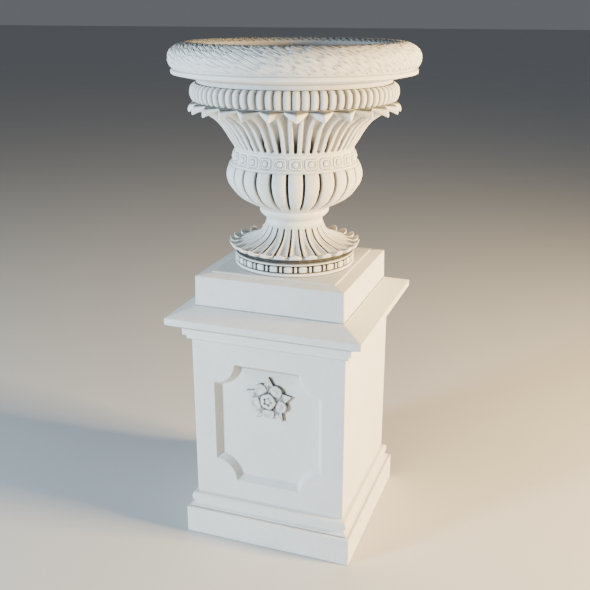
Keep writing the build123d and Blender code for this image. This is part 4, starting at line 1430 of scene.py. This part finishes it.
@dataclass
class Course:
    """One square course of the pedestal.

    Attributes:
        name: Name of the new piece.
        node: The CAD node that it stands for.
        profile: Half widths and heights from the underside out and up to the top, in parts.
        arris: How far the profile's corners are eased, in millimetres.
        upright: Radius of the four upright arrises.
        deep_painted_shade: Painted shadow on the lowest arris, from 0 to 1.
    """

    name: str
    node: str
    profile: Sequence[Pair]
    arris: float = 1.8
    upright: float = 2.6
    deep_painted_shade: float = 0.9

    def build(self, block: Block) -> bpy.types.Object:
        """Carry the eased profile round a square with rounded corners.

        Args:
            block: The pedestal's measures.

        Returns:
            The course as one closed surface.
        """
        section = eased(block.spots(self.profile), self.arris, 4)
        rows = np.stack([self._ring(half, height) for half, height in section])
        # Painted shadow along the lowest arris, under the joint.
        over = rows[..., 2] - rows[0, 0, 2]
        shell = Shell(rows, loop=False, painted_shade=self.deep_painted_shade * (1 - smooth(0.2, 1.0, over / self.arris)))
        return build_mesh(self.name, [shell], crease=0.25)

    def _ring(self, half: float, height: float) -> Array:
        """One row: four sides with close columns by the corners, and four quarter circles between them.

        Args:
            half: Half width of the square.
            height: Height above the ground.

        Returns:
            Array of (columns, 3) positions.
        """
        radius = min(self.upright, 0.5 * half)
        flat = half - radius
        side = flat * np.array([-0.985, -0.93, -0.8, -0.4, 0.0, 0.4, 0.8, 0.93, 0.985])
        bend = np.radians(np.linspace(0.0, 90.0, 7))
        x = np.concatenate([np.full(len(side), half), flat + radius * np.cos(bend)])
        y = np.concatenate([side, flat + radius * np.sin(bend)])
        ring = []
        for quarter in range(4):
            c, s = math.cos(quarter * math.pi / 2), math.sin(quarter * math.pi / 2)
            ring.append(np.stack([x * c - y * s, x * s + y * c, np.full(len(x), height)], -1))
        return np.concatenate(ring)


COURSES = (
    Course("plinth_block", "plinth", [(0.47, 0.0), (0.5, 0.0), (0.5, 0.10326), (0.43, 0.10326)]),
    Course(
        "base_splay_roll",
        "base_moulding",
        [
            (0.44, 0.10574), (0.484, 0.10574), (0.4825, 0.1093), (0.4795, 0.1105), (0.470, 0.1140), (0.4650, 0.1192),
            (0.462, 0.1266), (0.4675, 0.1272), (0.4725, 0.1305), (0.4743, 0.1360), (0.4745, 0.1425), (0.4738, 0.1485),
            (0.4705, 0.1535), (0.4640, 0.1572), (0.456, 0.1582), (0.446, 0.1584), (0.446, 0.16046), (0.42, 0.16046),
        ],
    ),
    Course(
        "bed_fascias",
        "bed_moulding",
        [(0.44, 0.76994), (0.468, 0.76994), (0.468, 0.787), (0.486, 0.787), (0.486, 0.80966), (0.46, 0.80966)],
    ),
    Course(
        "cornice_slab",
        "cornice",
        [
            (0.46, 0.81214), (0.492, 0.81214), (0.5556, 0.8333), (0.5556, 0.8563), (0.430, 0.8831), (0.430, 0.88496),
            (0.40, 0.88496),
        ],
    ),
    Course(
        "seat_slab",
        "seat_block",
        [
            (0.40, 0.88744), (0.426, 0.88744), (0.4226, 0.9904), (0.356, 0.9963), (0.3507, 1.0), (0.32, 1.0),
        ],
    ),
)


def panel_outline(half_x: float, half_y: float, centre: Pair, notch: float, sides: int, arcs: int) -> Array:
    """Rectangle whose corners are cut by concave quarter circles, anticlockwise from the lower right.

    Formula: four straight sides between the ends of four arcs whose centres lie at fixed corners; where
    the outline has been drawn in, the arcs grow by as much, so their ends slide along the sides.

    Args:
        half_x: Half width of the outline.
        half_y: Half height of the outline.
        centre: Where the arc centres lie in the first quarter.
        notch: Radius of the arcs.
        sides: Points on each straight side.
        arcs: Points on each arc.

    Returns:
        Array of (4 * (sides + arcs), 2) positions round the origin.
    """
    cut_y = centre[1] - math.sqrt(max(notch**2 - (centre[0] - half_x) ** 2, 0.0))
    cut_x = centre[0] - math.sqrt(max(notch**2 - (centre[1] - half_y) ** 2, 0.0))
    low = math.atan2(cut_y - centre[1], half_x - centre[0])
    high = math.atan2(half_y - centre[1], cut_x - centre[0])
    turn_by = np.linspace(low % TURN, high % TURN, arcs + 1)[:-1]
    arc = np.stack([centre[0] + notch * np.cos(turn_by), centre[1] + notch * np.sin(turn_by)], -1)
    t = np.linspace(-1.0, 1.0, sides, endpoint=False)
    right = np.stack([np.full(sides, half_x), t * cut_y], -1)
    top = np.stack([-t * cut_x, np.full(sides, half_y)], -1)
    mirrored_arc = np.vstack([[[-cut_x, half_y]], (arc * [-1.0, 1.0])[::-1][:-1]])
    first_half = np.vstack([right, arc, top, mirrored_arc])
    return np.vstack([first_half, -first_half])


@dataclass
class Die:
    """The square shaft with a bevelled panel sunk into its front.

    Attributes:
        block: The pedestal's measures.
        half: Half width, as a part of the pedestal's width.
        low: Underside, as a part of its height.
        high: Top, as a part of its height.
        panel: Half width and half height of the panel, in millimetres.
        panel_centre: Its centre, as a part of the pedestal's height.
        notch: Radius of the panel's cut corners.
        bevel: Width of the panel's bevel.
        depth: Depth of the panel.
        sides: Points along each side of an outline.
        arcs: Points round each cut corner.
        arris: How far the shaft's upright arrises are eased.
    """

    block: Block
    half: float = 0.446
    low: float = 0.16294
    high: float = 0.76746
    panel: Pair = (160.0, 184.0)
    panel_centre: float = 0.4627
    notch: float = 62.0
    bevel: float = 15.0
    depth: float = 20.0
    sides: int = 24
    arcs: int = 20
    arris: float = 2.2

    def build(self) -> bpy.types.Object:
        """Lay rings round the front-to-back axis: back, sides, face, bevel and panel floor.

        Returns:
            The shaft.
        """
        half = self.half * self.block.width
        middle = self.panel_centre * self.block.height
        low, high = self.low * self.block.height - middle, self.high * self.block.height - middle
        section = eased([(half - 30.0, -half), (half, -half), (half, half), (half - 20.0, half)], self.arris, 4)
        rows = []
        for reach, out in section:
            rim = self._rectangle(reach, low + (half - reach) * 0.4, high - (half - reach) * 0.4)
            rows.append(self._place(rim, out, middle))
        wide, tall = self.panel
        floor = self.depth
        # Each step: inset of the outline, depth under the face, and painted shade on that row.
        steps = [
            (-1.2, 0.0, 0.0), (0.0, 0.0, 0.0), (0.6, 0.12, 0.0), (1.3, 0.9, 0.0),
            (self.bevel - 1.0, floor - 1.2, 0.5), (self.bevel - 0.4, floor - 0.3, 0.6),
            (self.bevel + 0.6, floor, 0.6), (self.bevel + 2.5, floor, 0.3), (self.bevel + 40.0, floor, 0.0),
        ]
        marks = [0.0] * len(section)
        for inset, down, mark in steps:
            cut = panel_outline(wide - inset, tall - inset, self.panel, self.notch + inset, self.sides, self.arcs)
            rows.append(self._place(cut, half - down, middle))
            marks.append(mark)
        grid = np.stack(rows)
        # The painted shade round the bevel's foot is laid only near the panel's top edge.
        painted_shade = np.array(marks)[:, None] * smooth(0.80, 0.97, (grid[..., 2] - middle) / tall)
        return build_mesh("die_shaft", [Shell(grid, loop=False, painted_shade=painted_shade)], crease=0.25)

    def _rectangle(self, half: float, low: float, high: float) -> Array:
        """Outline with as many points as the panel's, each arc's middle point on a corner.

        Args:
            half: Its half width.
            low: Its underside.
            high: Its top.

        Returns:
            Array of (columns, 2) positions in the panel's plane.
        """
        columns = []
        steps = self.arcs // 2
        for corner_from, corner_to in (
            ((half, low), (half, high)), ((half, high), (-half, high)), ((-half, high), (-half, low)),
            ((-half, low), (half, low)),
        ):
            at = np.linspace(0.0, 1.0, self.sides + 2 * steps, endpoint=False)[:, None]
            columns.append(np.asarray(corner_from) * (1 - at) + np.asarray(corner_to) * at)
        return np.roll(np.vstack(columns), -steps, axis=0)

    @staticmethod
    def _place(outline: Array, out: float, middle: float) -> Array:
        """Put an outline into an upright plane at a distance in front of the axis."""
        return np.stack([outline[:, 0], np.full(len(outline), -out), outline[:, 1] + middle], -1)


@dataclass
class Rosette:
    """The five-petalled flower in the panel.

    Attributes:
        back: Distance of the panel's floor from the axis, in millimetres.
        height: Height of the flower's centre above the ground.
        petal: Radius of a petal.
        spread: Distance of a petal's centre from the flower's.
        reach: Distance of a sepal's point from the centre.
        bud: Radius of the bud.
        leaf: Half width of a sepal where it is broadest.
        start: Distance from the centre to a sepal's inner end.
        disc: Radius of the disc.
        disc_height: Its height over the panel's floor.
        disc_painted_shade: Painted shade on it.
        parts: How many petals and sepals there are.
        columns: Points round each form.
    """

    back: float
    height: float
    petal: float = 20.0
    spread: float = 35.5
    reach: float = 71.0
    bud: float = 22.5
    leaf: float = 15.0
    start: float = 18.0
    disc: float = 38.0
    disc_height: float = 4.0
    disc_painted_shade: float = 0.7
    parts: int = 5
    columns: int = 60

    @classmethod
    def on_panel(cls) -> "Rosette":
        """Read the flower's place from its CAD node."""
        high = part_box("rosette")[1]
        return cls(-high.y / METRES, high.z / METRES - cls.reach)

    def build(self) -> bpy.types.Object:
        """Join the disc, the sepals, the petals and the bud.

        Returns:
            The flower.
        """
        turn_of = TURN / self.parts
        sepals = [self._sepal(-FRONT + k * turn_of) for k in range(self.parts)]
        petals = [self._petal(FRONT + k * turn_of) for k in range(self.parts)]
        shells = [self._disc(), *sepals, *petals, self._bud()]
        return build_mesh("rosette_flower", shells, crease=0.35)

    def _stand(self, across: Array, along: Array, out: Array, angle: float) -> Array:
        """Turn a form by an angle in the panel's plane and put it in its place.

        Args:
            across: Sideways places.
            along: Places outward from the flower's centre.
            out: Heights over the panel's floor.
            angle: The turn.

        Returns:
            Array of (rows, columns, 3) positions.
        """
        c, s = math.cos(angle), math.sin(angle)
        x, z = along * c - across * s, along * s + across * c
        return np.stack([x, np.broadcast_to(-(self.back + out), x.shape), z + self.height], -1)

    def _rings(self) -> tuple[Array, Array, Array]:
        """Rows of a form: out at its foot, up its side and in over its top.

        Returns:
            The scales of the outline, the parts of the height reached and the angles round the outline.
        """
        side = np.array([0.90, 0.96, 0.99, 1.0, 1.0, 0.99])
        lift = np.array([0.0, 0.0, 0.15, 0.45, 0.75, 0.90])
        over = np.array([0.965, 0.92, 0.86, 0.79, 0.71, 0.62, 0.52, 0.41, 0.30, 0.18, 0.08])
        scale = np.concatenate([side, over])[:, None]
        rise = np.concatenate([lift, np.ones(len(over))])[:, None]
        return scale, rise, np.linspace(0.0, TURN, self.columns, endpoint=False)[None, :]

    def _form(
        self, across: Array, along: Array, top: Array | float, rise: Array, angle: float, painted_shade: Array | float
    ) -> Shell:
        """Close one form of the flower, with painted shadow on its walls up to just under its top.

        Args:
            across: Sideways places.
            along: Places outward from the flower's centre.
            top: Heights of the form's top over the panel's floor.
            rise: Part of that height that each row reaches.
            angle: Turn of the form in the panel's plane.
            painted_shade: Painted shade on the top.

        Returns:
            The closed form.
        """
        # Painted shadow on the walls.
        wall = 1 - smooth(0.60, 1.05, rise)
        points = self._stand(across, along, top * rise, angle)
        return Shell(points, loop=False, painted_shade=np.maximum(wall, painted_shade))

    def _disc(self) -> Shell:
        """Low round ground under the petals.

        Returns:
            The disc.
        """
        scale, rise, angle = self._rings()
        radius = self.disc * scale
        across, along = radius * np.sin(angle), radius * np.cos(angle)
        # Painted shade over the whole disc.
        return self._form(across, along, self.disc_height, rise, 0.0, self.disc_painted_shade)

    def _petal(self, angle: float) -> Shell:
        """Bulging petal with a raised, slightly notched rim.

        Formula: a circle drawn in at its outer end; over the top the height is a dome with a rim at nine
        tenths of the outline and a shallow hollow inside it.

        Args:
            angle: Turn of the petal in the panel's plane.

        Returns:
            The petal.
        """
        scale, rise, around_it = self._rings()
        outline = self.petal * (1 - 0.08 * np.exp(-((np.minimum(around_it, TURN - around_it) / 0.32) ** 2)))
        outline = outline * (1 + 0.08 * np.cos(2 * around_it))
        along = self.spread + outline * scale * np.cos(around_it)
        across = outline * scale * np.sin(around_it)
        rim = np.exp(-(((scale - 0.86) / 0.10) ** 2))
        dome = np.sqrt(np.clip(1 - (0.98 * scale) ** 2, 0.0, 1.0))
        hollow = np.exp(-(((scale - 0.45) / 0.28) ** 2)) * (0.5 + 0.5 * np.cos(around_it))
        top = 8.0 + 5.6 * dome + 1.9 * rim - 3.2 * hollow
        # Painted shade at the petal's inner end, round its edge and a little in its hollow.
        inner = 0.95 * smooth(-0.25, -0.55, scale * np.cos(around_it))
        outer = 0.6 * smooth(0.88, 1.0, scale)
        return self._form(across, along, top, rise, angle, np.maximum(0.22 * hollow, np.maximum(inner, outer)))

    def _sepal(self, angle: float) -> Shell:
        """Pointed leaf with a sharp middle ridge and hollow sides, between two petals.

        Formula: straight edges from the broadest place to the point, and a half ellipse behind it.

        Args:
            angle: Turn of the sepal in the panel's plane.

        Returns:
            The sepal.
        """
        scale, rise, around_it = self._rings()
        point, side = np.cos(around_it), np.sin(around_it)
        along = self.start + (self.reach - self.start) * 0.5 * (1 + scale * point)
        width = np.where(point > 0, 1 - point, np.abs(side)) * np.sign(side)
        across = self.leaf * width * scale
        ridge = np.exp(-np.abs(across) / 2.6)
        top = 8.0 + 3.2 * ridge + 1.6 * smooth(0.7, 0.95, scale) - 1.6 * smooth(0.2, 1.0, point * scale)
        # Painted shade at the sepal's inner end.
        inner = 0.6 * smooth(0.25, -0.05, point * scale)
        return self._form(across, along, top, rise, angle, inner)

    def _bud(self) -> Shell:
        """Five-sided domed bud with a star-shaped pit and a button in it.

        Formula: a circle drawn toward a pentagon; the pit's wall follows a star with as many points, and
        the button in it is a low cap.

        Returns:
            The bud.
        """
        scale, rise, around_it = self._rings()
        five = np.cos(self.parts * around_it)
        radius = self.bud * (1 + 0.045 * five) * scale
        dome = np.sqrt(np.clip(1 - (0.9 * scale) ** 2, 0.0, 1.0))
        star = 0.50 * (1 + 0.20 * five)
        pit = 1 - smooth(0.78, 1.10, scale / star)
        button = hump(np.clip(scale / 0.34, 0.0, 1.0), 0.5)
        # Painted shade round the wall of the star-shaped pit.
        wall = np.exp(-(((scale / star - 0.90) / 0.16) ** 2))
        top = 12.0 + 6.0 * dome - 6.0 * pit + 4.6 * button
        return self._form(radius * np.sin(around_it), radius * np.cos(around_it), top, rise, 0.0, 0.95 * wall)


@dataclass
class Pedestal:
    """The courses, the shaft and the flower.

    Attributes:
        workshop: Where they are dressed and handed over.
        block: The pedestal's measures.
    """

    workshop: Workshop
    block: Block

    def build(self) -> None:
        """Make every stone of the pedestal and put it on the ground body in place of its CAD node."""
        for course in COURSES:
            self.workshop.hand_over(course.build(self.block), course.node, Body.PEDESTAL)
        self.workshop.hand_over(Die(self.block).build(), "die", Body.PEDESTAL)
        self.workshop.hand_over(Rosette.on_panel().build(), "rosette", Body.PEDESTAL)


@dataclass
class Pointing:
    """Mortar beds whose joints are filled almost flush with the stone.

    Attributes:
        workshop: Where the beds are dressed and handed over.
        gauge: The urn's measures.
        fill: How far the filling comes out past the CAD bed, in millimetres.
        square: Beds between the pedestal's courses.
        round: Beds between the urn's rings, with the radius of their opening in hundredths.
        reach: How far a square bed reaches in from its face.
    """

    workshop: Workshop
    gauge: Gauge
    fill: float = 3.3
    square: tuple[str, ...] = ("base_mortar", "die_mortar", "cornice_mortar")
    round: tuple[tuple[str, float], ...] = (
        ("stem_mortar", 5.1), ("knop_mortar", 5.1), ("bowl_mortar", 41.0), ("girdle_mortar", 41.0),
    )
    reach: float = 30.0

    def build(self) -> None:
        """Make every bed and hand it over."""
        block = Block(1.0 / METRES, 1.0 / METRES)
        for node in self.square:
            low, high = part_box(node)
            half = high.x + self.fill * METRES
            inner = half - self.reach * METRES
            profile = [(inner, low.z), (half, low.z), (half, high.z), (inner, high.z)]
            bed = Course(node + "_filled", node, profile, arris=0.4, upright=1.5).build(block)
            self.workshop.hand_over(bed, node, Body.PEDESTAL, Slot.MORTAR)
        for node, opening in self.round:
            low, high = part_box(node)
            outer, inner = high.x / METRES + self.fill, self.gauge.r(opening)
            bottom, top = low.z / METRES, high.z / METRES
            angles, _ = around(REPEATS, clustered(8, 0.0))
            ring = turn(np.array([(outer, bottom), (outer, top), (inner, top), (inner, bottom)]), angles)
            bed = build_mesh(node + "_filled", [Shell(ring)])
            self.workshop.hand_over(bed, node, Body.URN, Slot.MORTAR)


@dataclass
class Fixings:
    """The open mortar beds, dowels, pins and the drain tie, which are shown as they were modelled.

    Attributes:
        workshop: Where they are dressed.
        mortar: The open beds.
        steel: Dowels, pins and the washer.
        brass: The drain tie's metal.
        seal: Its seal.
    """

    workshop: Workshop
    mortar: tuple[str, ...] = (
        "plinth_mortar", "block_mortar", "foot_mortar", "calyx_mortar", "ring_mortar", "neck_mortar",
    )
    steel: tuple[str, ...] = ("rosette_pins", "course_dowels", "locating_pins", "vessel_dowels", "tie_washer")
    brass: tuple[str, ...] = ("drain_tube", "drain_flange", "tie_nut")
    seal: tuple[str, ...] = ("drain_seal",)

    def dress(self) -> None:
        """Give each fixing its finish."""
        groups = (
            (self.mortar, Slot.MORTAR), (self.steel, Slot.STEEL), (self.brass, Slot.BRASS), (self.seal, Slot.SEAL),
        )
        for nodes, slot in groups:
            for node in nodes:
                self.workshop.keep(node, slot)


# ---------------------------------------------------------------------------
# the studio
# ---------------------------------------------------------------------------


@dataclass(frozen=True)
class Lamp:
    """A soft square light.

    Attributes:
        name: Its name.
        place: Where it stands, in metres.
        target: What it points at.
        power: Its power in watts.
        size: Side of the square.
        colour: Its light.
    """

    name: str
    place: tuple[float, float, float]
    target: tuple[float, float, float]
    power: float
    size: float
    colour: tuple[float, float, float]

    def build(self) -> bpy.types.Object:
        """Hang the light.

        Returns:
            The light's object.
        """
        data = bpy.data.lights.new(self.name, "AREA")
        data.energy, data.size, data.color = self.power, self.size, self.colour
        lamp = bpy.data.objects.new(self.name, data)
        lamp.location = self.place
        aim = Vector(self.target) - Vector(self.place)
        lamp.rotation_euler = aim.to_track_quat("-Z", "Y").to_euler()
        bpy.context.collection.objects.link(lamp)
        return lamp


@dataclass(frozen=True)
class Studio:
    """Pale floor, soft lights and the camera.

    Attributes:
        azimuth: Camera's turn round the object to the right of its front, in degrees.
        elevation: Its angle above the level of the target.
        distance: Its distance from the target, in metres.
        target: Height of the target on the axis.
        lens: Focal length in millimetres.
        shift: Sideways shift of the picture.
        floor_half: Half width of the floor, in metres.
        sky: Colour of the light from all round.
        sky_power: Its strength.
        lamps: The two soft lights.
    """

    azimuth: float = 19.8105
    elevation: float = 19.3674
    distance: float = 2.3789
    target: float = 0.6968
    lens: float = 50.0
    shift: float = 0.0009
    floor_half: float = 60.0
    sky: Colour = (0.86, 0.92, 1.0, 1.0)
    sky_power: float = 0.15
    lamps: tuple[Lamp, ...] = (
        Lamp("key_light", (-3.0, -3.6, 1.3), (0.0, 0.0, 0.9), 440.0, 0.8, (0.68, 0.86, 1.0)),
        Lamp("warm_light", (3.5, 0.1, 1.35), (0.0, 0.0, 0.9), 620.0, 0.7, (1.0, 0.72, 0.36)),
    )

    def build(self) -> None:
        """Make the floor, the sky, the lights and the camera."""
        half = self.floor_half
        mesh = bpy.data.meshes.new("studio_floor")
        corners = [(-half, -half, 0.0), (half, -half, 0.0), (half, half, 0.0), (-half, half, 0.0)]
        mesh.from_pydata(corners, [], [(0, 1, 2, 3)])
        mesh.materials.append(FloorFinish().build())
        floor = bpy.data.objects.new("studio_floor", mesh)
        bpy.context.collection.objects.link(floor)
        [lamp.build() for lamp in self.lamps]
        world = bpy.data.worlds.new("studio_sky")
        world.use_nodes = True
        sky = world.node_tree.nodes["Background"]
        sky.inputs["Color"].default_value = self.sky
        sky.inputs["Strength"].default_value = self.sky_power
        bpy.context.scene.world = world
        self._camera()

    def _camera(self) -> None:
        """Stand the camera at its angle and distance, looking at the target."""
        turned, raised = math.radians(self.azimuth), math.radians(self.elevation)
        back = Vector(
            (math.sin(turned) * math.cos(raised), -math.cos(turned) * math.cos(raised), math.sin(raised))
        )
        data = bpy.data.cameras.new("studio_camera")
        data.lens, data.shift_x = self.lens, self.shift
        camera = bpy.data.objects.new("studio_camera", data)
        camera.location = Vector((0.0, 0.0, self.target)) + back * self.distance
        camera.rotation_euler = (-back).to_track_quat("-Z", "Y").to_euler()
        bpy.context.collection.objects.link(camera)
        bpy.context.scene.camera = camera


def main() -> None:
    """Build the pedestal, the urn and the studio."""
    logging.basicConfig(level=logging.INFO, format="%(message)s")
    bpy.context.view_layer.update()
    workshop = Workshop()
    Pedestal(workshop, Block.of_pedestal()).build()
    gauge = Gauge.of_urn()
    Urn(workshop, Foot(gauge), Cup(gauge), Crown(gauge)).build()
    Pointing(workshop, gauge).build()
    Fixings(workshop).dress()
    Studio().build()
    bpy.context.view_layer.update()


if __name__ == "__main__":
    main()
